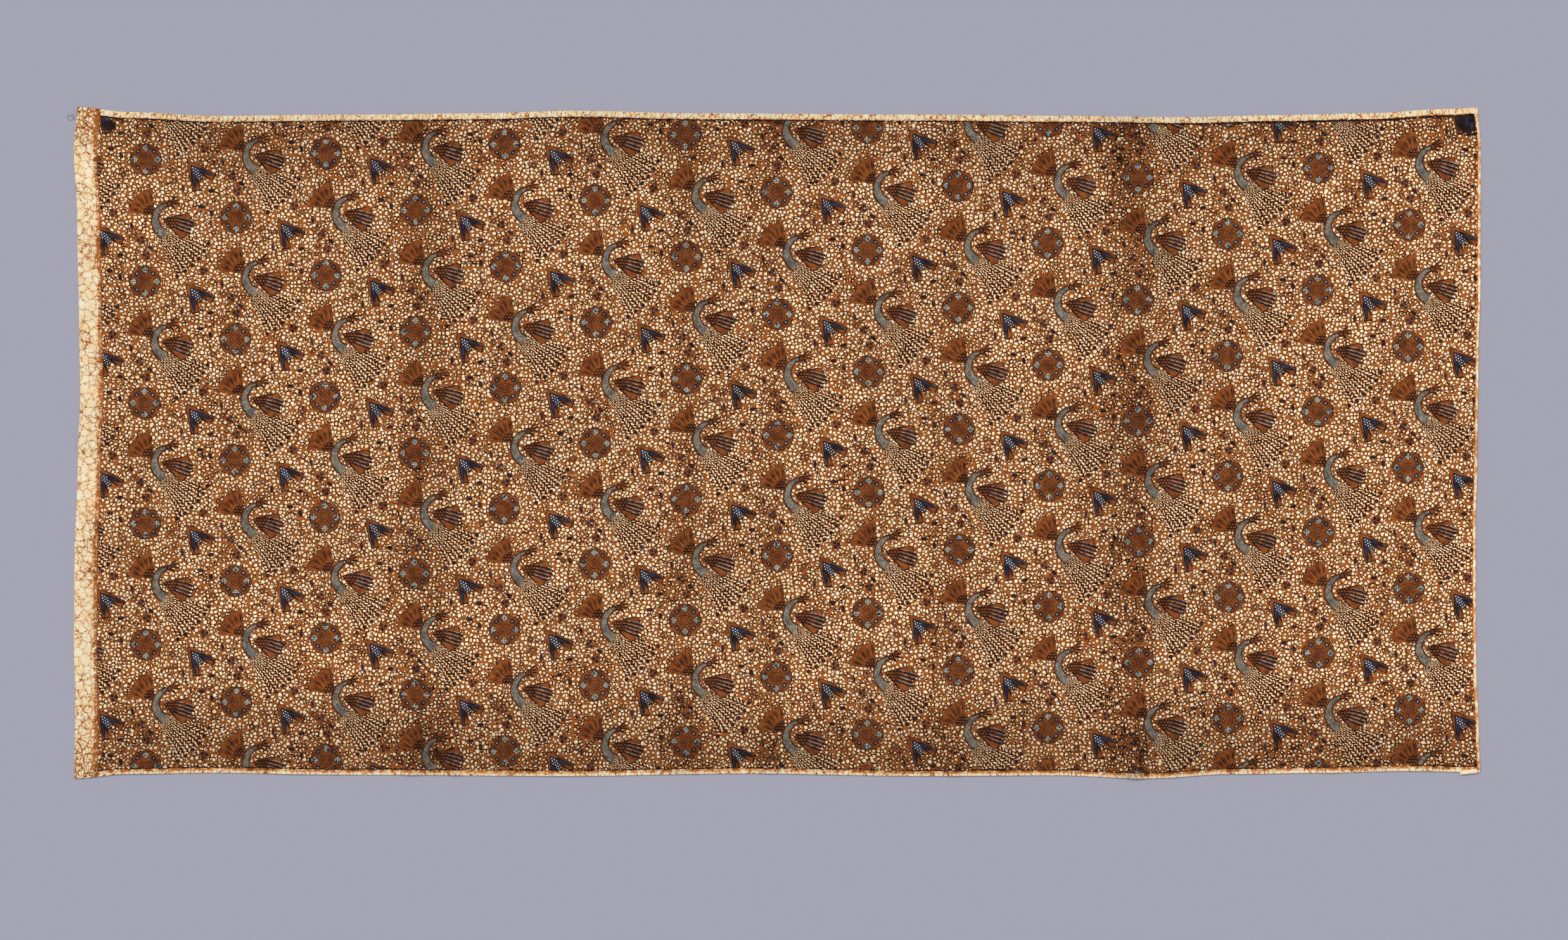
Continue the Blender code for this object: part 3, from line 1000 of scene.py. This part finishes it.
def batik_material():
    t = Tree("batik_cotton_dyed")
    draw = t.node("ShaderNodeAttribute", attribute_name="draw").outputs["Vector"]
    place_at = t.node("ShaderNodeAttribute", attribute_name="cloth_at").outputs["Vector"]
    u0, v0, code = t.split(draw)
    X, Y, _ = t.split(place_at)
    # a shaky hand: the drawing wanders by a few tenths of a millimetre
    hand = t.node("ShaderNodeTexNoise", noise_dimensions="2D")
    t.link(place_at, hand.inputs["Vector"])
    hand.inputs["Scale"].default_value = 0.21
    hand.inputs["Detail"].default_value = 1.5
    hr = t.node("ShaderNodeSeparateColor")
    t.link(hand.outputs["Color"], hr.inputs[0])
    h1, h2, h3 = (Sum(t.tree, s) for s in hr.outputs)
    j1, j2 = (h1 - 0.5), (h2 - 0.5)
    kind = (code + 0.02).floor()
    wide = (code - kind) * HALF_CODE
    u = u0 + j1 * 1.2
    v = v0 + j2 * 1.2

    # ---- the pebbled ground: round pebbles of many sizes, each in an ink ring
    px, py = X + j1 * 1.9, Y + j2 * 1.9
    ground_at = t.vector(px, py)
    cell = t.voronoi(ground_at, 1 / PEBBLE, "F1", 0.96)
    dist = Sum(t.tree, cell.outputs["Distance"])
    lot = t.node("ShaderNodeSeparateColor")
    t.link(cell.outputs["Color"], lot.inputs[0])
    r1, r2, r3 = (Sum(t.tree, s) for s in lot.outputs)
    edge_node = t.voronoi(ground_at, 1 / PEBBLE, "DISTANCE_TO_EDGE", 0.96)
    edge = Sum(t.tree, edge_node.outputs["Distance"])
    off = dist / (r1 * 0.22 + 0.31)
    off = off * off
    # painted shade along the fold creases, and darker towards the top and bottom selvedges; there the ground also
    # keeps less cream
    dark_patchiness = t.noise(place_at, 0.013, 3.0, 0.6).ramp(0.30, 0.70)
    fold_shade_edge_dark = Y.ramp(20.0, 190.0).rsub(1.0) * 0.7 + Y.rsub(WIDTH * 1000).ramp(10.0, 130.0).rsub(1.0) * 0.7
    # painted shade: a dark band along each fold crease
    for middle, half, deep in FOLDS:
        fold_shade_edge_dark = fold_shade_edge_dark + ((X + j1 * 10.0 - middle).abs() / half).ramp(0.15, 1.0).rsub(1.0) * deep
    fold_shade_edge_dark = fold_shade_edge_dark * (dark_patchiness * 0.9 + 0.25)
    filled = t.noise(place_at, 0.021, 3.0, 0.65).ramp(0.46, 0.74)
    into = edge - off * off * 0.12 - r3 * 0.06 - 0.01 - fold_shade_edge_dark * 0.10 - filled * 0.15
    large = t.voronoi(ground_at, 1 / 13.0, "F1", 1.0)
    lot2 = t.node("ShaderNodeSeparateColor")
    t.link(large.outputs["Color"], lot2.inputs[0])
    into_large = ((Sum(t.tree, lot2.outputs[0]) * 0.30 - 0.03) - Sum(t.tree, large.outputs["Distance"])) * 1.9
    into = pick((into_large > -0.17), into_large, into)
    ringed = (h3 > 0.35) * ((r2 + h1) > 0.42)
    near_ring = ((into + fold_shade_edge_dark * 0.10) > -0.33) * (into < -0.015)
    ground = pick(near_ring * ringed, 2.0, into.ramp(-0.03, 0.15).rsub(1.0))
    # dyes: 0 cream, 1 brown, 2 ink, 3 navy, 4 glint

    # ---- the drawn fields
    av = v.abs()
    line = pick(av < wide, 2.0, 1.0)
    blade = pick(av < (wide * (h1 * 0.5 + 0.12)), 3.0, line)
    # flight feathers: four blades side by side, blue in the middle, some with a glint
    fan = (v0 / wide.max(1.0) * 2.0) + (h2 - 0.5) * 0.25
    blade_no = fan.floor()
    in_fan = (fan.fract() - 0.5).abs()
    shape = (u0.ramp(0.0, 9.0) * -0.10 + 0.38)
    feathers_f = pick(in_fan < (shape * 0.36 + (h1 - 0.62) * 0.6), 3.0, pick(in_fan < shape, 2.0, 1.0))
    past = (u0 + in_fan * 11.0 + (blade_no * 0.37).fract() * 3.0 + h1 * 3.0) > 37.0
    feathers_f = pick(past, ground, feathers_f)
    feathers_f = pick(((fan.fract() - 0.82).abs() < 0.05) * (u0 > 8.0) * (u0 < 31.0) * (h3 > 0.44), 4.0, feathers_f)
    # neck: rows of checks between ink lines
    nu, nv = (u / 2.3 + 0.5 * (v / 1.9).floor()).fract() - 0.5, (v / 1.9).fract() - 0.5
    dots = (nu * nu + nv * nv) < (h1 * 0.12 + 0.035)
    chk_soft = pick(dots, 4.0, pick(h3 > 0.64, 3.0, 2.0))
    neck_out = pick(((av - wide - 1.5).abs() < 0.8) * (((u / 1.7).fract() - 0.5).abs() > 0.16), 2.0, 1.0)
    neck_out = pick(av < (wide + 0.5), 2.0, neck_out)
    neck_f = pick(av < wide, chk_soft, neck_out)
    # tail leaves: two rows of slanting ovals beside each rib
    across = av / wide.max(0.5)                       # 0 middle .. 1 rib
    turn = (u0 + across * 0.95 + (v0 > 0.0) * 0.43 + 1.1 * (h3 - 0.5))
    slot = (turn.fract() - 0.5 + (h2 - 0.5) * 0.30) / 0.48
    row = (across - 0.5 + (h1 - 0.5) * 0.16) / 0.56
    oval = slot * slot + row * row
    rib = (wide - av + (h2 - 0.5) * 1.2) < 0.5
    leaf = (oval + h1 * 0.3)
    leaves_f = pick(((leaf > 0.70) * (leaf < 1.60) * (h3 > 0.36) + rib) > 0.5, 2.0, leaf.ramp(0.24, 0.70))
    # scales: round brown scales on ink
    sc_v = v / 4.6
    sc_u = u / 4.9 + (sc_v.floor() * 0.5)
    su, sv = sc_u.fract() - 0.5, sc_v.fract() - 0.5
    scales_f = pick((su * su + sv * sv) < 0.115, 1.0, 2.0)
    # curl: an open ring round a pebble
    rad = (u * u + v * v).root()
    open_side = (u > 0.4) * (v.abs() < 1.1)
    curl_f = pick(((rad - 2.45).abs() < 0.58) * open_side.rsub(1.0), 2.0, pick(rad < 1.5, 0.6, 1.0))
    curl_f = pick(rad > 3.1, ground, curl_f)
    # dots, buds and stars, on a field of radius about 4
    dot_f = pick(rad < (h1 * 2.0 + 0.2), 3.0, pick(rad < 3.2, 2.0, pick(rad < 4.0, 1.0, ground)))
    trio = [((u - 2.1 * math.cos(k)) * (u - 2.1 * math.cos(k))
             + (v - 2.1 * math.sin(k)) * (v - 2.1 * math.sin(k))).root()
            for k in (0.5, 0.5 + math.tau / 3, 0.5 + 2 * math.tau / 3)]
    bmin = trio[0].min(trio[1]).min(trio[2])
    bud_f = pick(bmin < 0.8, 3.0, pick(bmin < 1.4, 2.0, pick(rad < 4.1, 1.0, ground)))
    cross = (u.abs() * v.abs()) - (rad.rsub(4.2) * 0.28)
    star_f = pick(rad < 0.9, 4.0, pick((cross < 0.0), 2.0, pick(rad < 3.6, 1.0, ground)))
    # petals: ovals inside each other in a rounded lobe
    corner = ((u * u) * (u * u) + (v * v) * (v * v)).root().root()
    nested = (u * u) / 10.0 + (v * v) / 20.0
    petal_f = pick((corner - 7.8).abs() < 0.6, 2.0, 1.0)
    petal_f = pick((nested - 1.9).abs() < 0.2, 2.0, petal_f)
    petal_f = pick(nested < 1.0, 2.0, petal_f)
    petal_f = pick(nested < 0.42, 3.0, petal_f)
    petal_f = pick(nested < 0.07, 4.0, petal_f)
    # diamonds: a 2.5 mm check inside two outlines
    dia = u.abs() + v.abs()
    dchk = (((u + v) / 2.5).floor() + ((v - u) / 2.5).floor()).odd()
    dia_f = pick((dia - 8.5).abs() < 0.5, 2.0, 1.0)
    dia_f = pick(dia < 7.0, 2.0, dia_f)
    dia_f = pick(dia < 6.0, pick(dchk + (h1 < 0.4) > 0.5, pick(h1 < 0.4, 3.0, 2.0), 4.0), dia_f)
    # the flower's middle: two rings round a dot
    medal_f = pick(((rad - 7.4).abs() < 0.6) + ((rad - 4.0).abs() < 0.5) > 0.5, 2.0, pick(rad < 1.4, 3.0, 1.0))
    # the eye: a dot in a ring
    eye_f = pick(rad < 1.0, 2.0, pick(rad < 2.6, 1.0, 2.0))
    # the moth's body: blue, with round pale dots in rows 4 mm apart
    bu, bv = (u / 4.0).fract() - 0.5, (v / 4.0 + 0.5 * (u / 4.0).floor()).fract() - 0.5
    spots = (bu * bu + bv * bv) < 0.05
    body_f = pick(((u * u) / 200.0 + (v * v) / 25.0) > 0.8, 2.0, pick(spots, 0.0, 3.0))

    dye = ground
    plain = {CREAM: 0.0, BROWN: 1.0, INK: 2.0, NAVY: 3.0, GLINT: 4.0, LINE: line, NECK: neck_f,
             LEAVES: leaves_f, SCALES: scales_f, CURL: curl_f, BLADE: blade, DOT: dot_f, BODY: body_f,
             STAR: star_f, BUD: bud_f, PETAL: petal_f, DIAMOND: dia_f, MEDAL: medal_f, EYE: eye_f,
             FEATHERS: feathers_f}
    for number, value in plain.items():
        here = kind.is_near(float(number), 0.3)
        dye = pick(here, value, dye)

    # ---- the edges of the cloth
    left, right = X, X.rsub(LENGTH * 1000)
    top, bottom = Y.rsub(WIDTH * 1000), Y
    ragged = t.noise(place_at, 0.16, 3.0, 0.6) - 0.5
    fine = t.noise(place_at, 0.55, 2.0, 0.6) - 0.5
    crack_at = t.vector(X + j1 * 9.0 + ragged * 8.0, Y + j2 * 9.0)
    crack_node = t.voronoi(crack_at, 1 / 13.0, "DISTANCE_TO_EDGE", 1.0)
    crack = Sum(t.tree, crack_node.outputs["Distance"])
    patchy = t.noise(place_at, 0.018, 3.0, 0.6)
    mottle_edge = t.noise(place_at, 0.09, 3.0, 0.65).ramp(0.35, 0.65)
    # the undyed left end, with veins where the wax cracked
    worn = patchy.ramp(0.42, 0.68) * 0.6 + bottom.ramp(40.0, 180.0).rsub(1.0) * 0.7 + top.ramp(10.0, 90.0).rsub(1.0) * 1.1 + 0.22
    web_at = t.vector(X + ragged * 6.0, Y * 0.8 + j1 * 5.0)
    web_node = t.voronoi(web_at, 1 / 5.2, "DISTANCE_TO_EDGE", 1.0)
    web = Sum(t.tree, web_node.outputs["Distance"]) < (worn * 0.10 - 0.035 + fine * 0.05)
    veined = ((crack < (worn * 0.045 + 0.012 + fine * 0.02)) + web) > 0.5
    halo = (crack.ramp(0.0, 0.18).rsub(1.0) * 0.52 + (left - 24.0).ramp(0.0, 12.0) * (mottle_edge + 0.1)) * (worn * 0.6 + 0.45)
    finger = ((h3 - 0.5).abs() < 0.06) * 5.0
    band_left = left < (ragged * 4.0 + fine * 3.0 + 35.5 - finger)
    rim_left = left < (ragged * 4.0 + fine * 5.0 + 37.0)
    # selvedges: a thin cream band crossed by brown veins, dark inside
    tail_top = right.ramp(40.0, 700.0).rsub(1.0)
    top_wide = ragged * 4.0 + fine * 1.6 + 9.5
    bottom_wide = ragged * 4.0 + fine * 1.6 + 8.0
    band_top = top < top_wide
    band_bottom = bottom < bottom_wide
    line_top = (top < (top_wide + 1.4 + (ragged + 0.3).max(0.0) * 3.0 + tail_top * 1.6)) * ((patchy + fine * 0.5) > 0.36)
    line_bottom = (bottom < (bottom_wide + 1.3 + (ragged + 0.2).max(0.0) * 3.0)) * ((patchy + fine * 0.5) > 0.42)
    across_at = t.vector(X + j1 * 6.0, Y * 0.32 + j2 * 3.0)
    veins_node = t.voronoi(across_at, 1 / 6.5, "DISTANCE_TO_EDGE", 1.0)
    thread_vein = Sum(t.tree, veins_node.outputs["Distance"]) < (patchy * 0.15 - 0.025)
    band_right = right < (ragged * 5.0 + fine * 2.0 + 4.2)
    line_right = right < (ragged * 5.0 + fine * 2.0 + 5.4)
    dye = pick(line_top, 2.0, dye)
    dye = pick(line_bottom, 2.0, dye)
    # where the dye pot was spilled: a black blot at the upper right, one at the left
    blot = ((X - 2204.0) * (X - 2204.0)) / 330.0 + ((top - 21.0) * (top - 21.0)) / 520.0 + ragged * 1.6 + fine
    blot2 = ((X - 54.0) * (X - 54.0)) / 80.0 + ((top - 24.0) * (top - 24.0)) / 70.0 + ragged + fine
    dye = pick(blot < 1.0, pick(blot < 0.05, 3.0, 2.0), dye)
    dye = pick(blot2 < 1.0, 2.0, dye)
    dye = pick(line_right, 1.0, dye)
    dye = pick(band_right, mottle_edge * 0.46 + 0.06, dye)
    top_stain = (top - top_wide + 4.0).ramp(0.0, 4.5) * (mottle_edge * 0.5 + 0.1)
    low_stain = (bottom - bottom_wide + 7.0).ramp(0.0, 6.0) * (mottle_edge * 0.7 + 0.25)
    dye = pick(band_top, pick(thread_vein, 0.72, top_stain), dye)
    dye = pick(band_bottom, pick(thread_vein, 0.8, low_stain), dye)
    dye = pick(rim_left, 1.0, dye)
    dye = pick(band_left, pick(veined, 0.85, halo), dye)

    # ---- dyes to colours
    band_any = (band_top + band_bottom + band_left + band_right) > 0.5
    mottle = t.noise(place_at, 0.075, 3.0, 0.6)
    broad = t.noise(place_at, 0.0065, 2.0, 0.5)
    cream = t.mix(mottle.ramp(0.3, 0.72), linear("FFDDA6"), linear("FFF5D4"))
    cream = t.mix(r2 * r2 * (band_any.rsub(1.0)) * 0.18, cream, linear("E6B57A"))
    cream = t.mix((patchy.ramp(0.5, 0.8) * 0.25), cream, linear("F3C584"))
    brown = t.mix(mottle.ramp(0.25, 0.75), linear("743A1A"), linear("A45A26"))
    brown = t.mix(fine.ramp(-0.2, 0.3) * 0.4, brown, linear("562913"))
    brown = t.mix(kind.is_near(0.0, 0.3) * 0.62, brown, linear("B5662C"))
    ink = t.mix(mottle.ramp(0.35, 0.7), linear("1A100D"), linear("331F17"))
    navy = t.mix(mottle.ramp(0.3, 0.7), linear("1A2336"), linear("2E3E60"))
    glint_c = t.mix(mottle.ramp(0.3, 0.7), linear("AAA496"), linear("E8DCC0"))
    # the dye creeps in under the wax: cream, then orange, then brown
    orange = t.mix(mottle.ramp(0.3, 0.7), linear("D67F3C"), linear("E89F58"))
    colour = t.mix(dye.ramp(0.0, 0.62), cream, orange)
    colour = t.mix(dye.ramp(0.45, 0.95), colour, brown)
    colour = t.mix(dye > 1.5, colour, ink)
    colour = t.mix(dye > 2.5, colour, navy)
    colour = t.mix(dye > 3.5, colour, glint_c)

    # ---- how the whole cloth is toned: darker to the lower edge, painted shade at the folds
    tone = bottom.ramp(30.0, 160.0) * 0.18 + 0.87
    tone = tone * (top.ramp(10.0, 160.0) * 0.09 + 0.92)
    tone = pick(band_any, 1.0, tone)
    # painted shade: darker along the fold creases and towards the top and bottom selvedges
    tone = tone * (fold_shade_edge_dark * -0.17 + 1.0)
    tone = tone * (right.ramp(120.0, 420.0).rsub(1.0) * 0.08 + 1.0)
    tone = tone * (broad * 0.30 + 0.85)
    fade = t.node("ShaderNodeMix", data_type="RGBA", blend_type="MULTIPLY")
    sockets = [s for s in fade.inputs if s.enabled]
    sockets[0].default_value = 1.0
    t.link(colour, sockets[1])
    grey = t.node("ShaderNodeCombineColor")
    for slot in grey.inputs:
        t.link(tone, slot)
    t.link(grey.outputs[0], sockets[2])
    colour = [s for s in fade.outputs if s.enabled][0]

    # ---- weave: plain cotton, about 30 threads to the centimetre
    weave_x = (X * 19.0).sine()
    weave_y = (Y * 19.0).sine()
    weave = weave_x * weave_y
    nub = t.noise(place_at, 1.1, 2.0)
    wrinkle = t.noise(place_at, 0.045, 3.0, 0.55)
    relief = weave * 0.10 + nub * 0.25 + wrinkle * 1.2
    bump = t.node("ShaderNodeBump")
    bump.inputs["Strength"].default_value = 0.35
    bump.inputs["Distance"].default_value = 0.0016
    t.link(relief, bump.inputs["Height"])
    t.link(bump.outputs[0], t.shader.inputs["Normal"])
    thread = t.mix(((weave * 0.5 + 0.5) * 0.10).clamp(), colour, (0.04, 0.02, 0.01))
    t.link(thread, t.shader.inputs["Base Color"])
    rough = (dye > 1.5) * -0.08 + mottle * 0.12 + 0.80
    t.link(rough, t.shader.inputs["Roughness"])
    t.shader.inputs["Specular IOR Level"].default_value = 0.08
    t.shader.inputs["Sheen Weight"].default_value = 0.02
    t.shader.inputs["Sheen Roughness"].default_value = 0.5
    return t.mat


def undyed_material():
    """Plain cream cotton of the turned-over selvedge and the loose threads."""
    t = Tree("undyed_cotton_cream")
    at = t.node("ShaderNodeTexCoord").outputs["Object"]
    big = t.noise(at, 120.0, 3.0, dims="3D")
    fine = t.noise(at, 900.0, 2.0, dims="3D")
    colour = t.mix(big.ramp(0.3, 0.7), linear("F3DDB5"), linear("FBE9C8"))
    colour = t.mix((fine.ramp(0.55, 0.75)) * 0.5, colour, linear("B98048"))
    t.link(colour, t.shader.inputs["Base Color"])
    t.link(big * 0.1 + 0.82, t.shader.inputs["Roughness"])
    bump = t.node("ShaderNodeBump")
    bump.inputs["Strength"].default_value = 0.4
    bump.inputs["Distance"].default_value = 0.0003
    t.link(fine, bump.inputs["Height"])
    t.link(bump.outputs[0], t.shader.inputs["Normal"])
    t.shader.inputs["Specular IOR Level"].default_value = 0.25
    return t.mat


def thread_material(name, dark, pale):
    t = Tree(name)
    at = t.node("ShaderNodeTexCoord").outputs["Object"]
    twist = t.noise(at, 1500.0, 2.0, dims="3D")
    t.link(t.mix(twist.ramp(0.35, 0.65), linear(dark), linear(pale)), t.shader.inputs["Base Color"])
    t.link(twist * 0.2 + 0.7, t.shader.inputs["Roughness"])
    return t.mat


# ============================================================== other pieces
TAB_CORNERS = ((1.0780, -0.5238), (1.1040, -0.5210), (1.1030, -0.5140), (1.0770, -0.5196))
TAB_WALL = 0.0010
TAB_CURL = 0.0006


def make_tab():
    """The short tab of selvedge that is turned over at the lower right corner."""
    a, b, c, d = TAB_CORNERS
    m, n = 28, 7
    bm = bmesh.new()
    layers = []
    for high in (0, 1):
        rows = []
        for i in range(n + 1):
            t = i / n
            row = []
            for j in range(m + 1):
                s = j / m
                x = (a[0] * (1 - s) + b[0] * s) * (1 - t) + (d[0] * (1 - s) + c[0] * s) * t
                y = (a[1] * (1 - s) + b[1] * s) * (1 - t) + (d[1] * (1 - s) + c[1] * s) * t
                side = abs(2 * t - 1)
                x += 0.0002 * math.sin(i * 2.1 + j)
                y += 0.00022 * math.sin(j * 0.9) * side
                z = WALL + GAP + TAB_CURL * (1 - s) ** 2 + 0.00012 * math.sin(j * 0.7)
                if high:
                    z += TAB_WALL * (0.62 + 0.30 * (1 - side ** 3))
                row.append(bm.verts.new((x, y, z)))
            rows.append(row)
        layers.append(rows)
    low, top = layers
    for i in range(n):
        for j in range(m):
            bm.faces.new((top[i][j], top[i][j + 1], top[i + 1][j + 1], top[i + 1][j]))
            bm.faces.new((low[i][j], low[i + 1][j], low[i + 1][j + 1], low[i][j + 1]))
    edge = [(0, j) for j in range(m)] + [(i, m) for i in range(n)]
    edge += [(n, j) for j in range(m, 0, -1)] + [(i, 0) for i in range(n, 0, -1)]
    for (i, j), (k, q) in zip(edge, edge[1:] + edge[:1]):
        bm.faces.new((low[i][j], low[k][q], top[k][q], top[i][j]))
    bmesh.ops.recalc_face_normals(bm, faces=bm.faces)
    mesh = bpy.data.meshes.new("selvedge_tab")
    bm.to_mesh(mesh)
    bm.free()
    mesh.shade_smooth()
    mesh.set_sharp_from_angle(angle=math.radians(50))
    obj = bpy.data.objects.new("selvedge_tab", mesh)
    bpy.context.scene.collection.objects.link(obj)
    return obj


def tubes(name, lines, radius, sides=5):
    """Loose threads as one mesh of thin tubes."""
    bm = bmesh.new()
    for line in lines:
        rings = []
        pts = [Vector(p) for p in line]
        for i, p in enumerate(pts):
            ahead = (pts[min(i + 1, len(pts) - 1)] - pts[max(i - 1, 0)]).normalized()
            side = ahead.cross(Vector((0, 0, 1)))
            side = side.normalized() if side.length > 1e-6 else Vector((1, 0, 0))
            up = side.cross(ahead).normalized()
            r = radius * (1.0 if i < len(pts) - 1 else 0.5)
            rings.append([bm.verts.new(p + side * (r * math.cos(a)) + up * (r * math.sin(a)))
                          for a in (2 * math.pi * k / sides for k in range(sides))])
        for r0, r1 in zip(rings, rings[1:]):
            for k in range(sides):
                bm.faces.new((r0[k], r0[(k + 1) % sides], r1[(k + 1) % sides], r1[k]))
        bm.faces.new(rings[0][::-1])
        bm.faces.new(rings[-1])
    bmesh.ops.recalc_face_normals(bm, faces=bm.faces)
    mesh = bpy.data.meshes.new(name)
    bm.to_mesh(mesh)
    bm.free()
    mesh.shade_smooth()
    obj = bpy.data.objects.new(name, mesh)
    bpy.context.scene.collection.objects.link(obj)
    return obj


def edge_place(along, across, z=0.0004):
    x, y = place(np.array([along]), np.array([across]))
    return float(x[0]), float(y[0]), z


def make_fray():
    """Short weft ends that stand out of the two torn ends and the selvedges."""
    rng = random.Random(11)
    lines = []
    for k in range(520):
        across = rng.uniform(0.004, WIDTH - 0.004)
        at_left = rng.random() < 0.62
        along = 0.0 if at_left else LENGTH
        out = -1 if at_left else 1
        x, y, _ = edge_place(along, across)
        long = rng.uniform(0.0006, 0.0022) * (1.8 if rng.random() < 0.07 else 1.0)
        drift = rng.uniform(-0.0008, 0.0008)
        z = rng.uniform(0.0003, 0.0010)
        lines.append([(x - out * 0.0008, y, z), (x + out * long * 0.5, y + drift * 0.4, z * 0.9),
                      (x + out * long, y + drift, max(0.00018, z * 0.5))])
    for k in range(170):
        along = rng.uniform(0.01, LENGTH - 0.01)
        at_top = rng.random() < 0.5
        x, y, _ = edge_place(along, WIDTH if at_top else 0.0)
        out = 1 if at_top else -1
        long = rng.uniform(0.0004, 0.0013)
        drift = rng.uniform(-0.0006, 0.0006)
        z = rng.uniform(0.0003, 0.0010)
        lines.append([(x, y - out * 0.0006, z), (x + drift * 0.5, y + out * long * 0.5, z),
                      (x + drift, y + out * long, max(0.00018, z * 0.6))])
    return tubes("frayed_ends", lines, 0.00011, 4)


def smooth3(points, per=6):
    flat = curve([(p[0], p[1]) for p in points], per)
    zs = curve([(p[2], 0.0) for p in points], per)
    return [(a[0], a[1], max(b[0], 0.0002)) for a, b in zip(flat, zs)]


# ============================================================ build the scene
def main():
    stage_mat = bpy.data.materials.new("pale_floor")
    stage_mat.use_nodes = True
    shader = stage_mat.node_tree.nodes["Principled BSDF"]
    shader.inputs["Base Color"].default_value = (*linear("A6A5B2"), 1.0)
    shader.inputs["Roughness"].default_value = 0.9
    shader.inputs["Specular IOR Level"].default_value = 0.1
    mesh = bpy.data.meshes.new("floor")
    s = 9.0
    mesh.from_pydata([(-s, -s, 0), (s, -s, 0), (s, s, 0), (-s, s, 0)], [], [(0, 1, 2, 3)])
    floor = bpy.data.objects.new("floor", mesh)
    mesh.materials.append(stage_mat)
    bpy.context.scene.collection.objects.link(floor)
    floor.location.z = -0.0003

    cloth = make_cloth()
    cloth.data.materials.append(batik_material())
    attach(cloth, "root")
    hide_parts("batik_cloth")

    tab = make_tab()
    undyed = undyed_material()
    tab.data.materials.append(undyed)
    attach(tab, "root")
    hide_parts("folded_corner")

    fray = make_fray()
    fray.data.materials.append(undyed)
    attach(fray, "root")

    loop = tubes("loose_thread_loop", [smooth3([
        (-1.1085, 0.5105, 0.0008), (-1.1135, 0.5150, 0.0005), (-1.1185, 0.5170, 0.0004), (-1.1205, 0.5130, 0.0004),
        (-1.1165, 0.5090, 0.0004), (-1.1120, 0.5110, 0.0006), (-1.1100, 0.5165, 0.0005), (-1.1150, 0.5195, 0.0003)])],
        0.00022, 6)
    loop.data.materials.append(thread_material("purple_thread", "5B4560", "8A7090"))
    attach(loop, "root")
    white = tubes("loose_white_threads", [
        smooth3([(-1.1000, 0.0560, 0.0006), (-1.1050, 0.0580, 0.0005), (-1.1090, 0.0570, 0.0004), (-1.1110, 0.0600, 0.0003)]),
        smooth3([(-0.7810, 0.5150, 0.0010), (-0.7800, 0.5200, 0.0006), (-0.7775, 0.5225, 0.0004), (-0.7760, 0.5275, 0.0003)]),
    ], 0.00018, 6)
    white.data.materials.append(undyed)
    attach(white, "root")

    # camera: straight down, as far off as a copy stand's long lens
    cam = bpy.data.cameras.new("camera")
    cam.sensor_fit = "HORIZONTAL"
    cam.sensor_width = 36.0
    away = 6.0
    cam.lens = 36.0 * away / 2.475
    cam.clip_end = 50.0
    eye = bpy.data.objects.new("camera", cam)
    eye.location = (0.0105, -0.043, away)
    bpy.context.scene.collection.objects.link(eye)
    bpy.context.scene.camera = eye

    # soft studio light, a little stronger from the upper left
    world = bpy.data.worlds.new("studio")
    world.use_nodes = True
    world.node_tree.nodes["Background"].inputs[0].default_value = (0.93, 0.95, 1.0, 1.0)
    world.node_tree.nodes["Background"].inputs[1].default_value = 0.60
    bpy.context.scene.world = world
    sun = bpy.data.lights.new("key", "SUN")
    sun.energy = 1.95
    sun.angle = math.radians(22)
    sun.color = (1.0, 0.985, 0.96)
    lamp = bpy.data.objects.new("key", sun)
    lamp.rotation_euler = Vector((0.55, -0.85, -0.95)).to_track_quat("-Z", "Y").to_euler()
    bpy.context.scene.collection.objects.link(lamp)
    bpy.context.scene.view_settings.view_transform = "Standard"
    bpy.context.scene.view_settings.look = "None"


main()
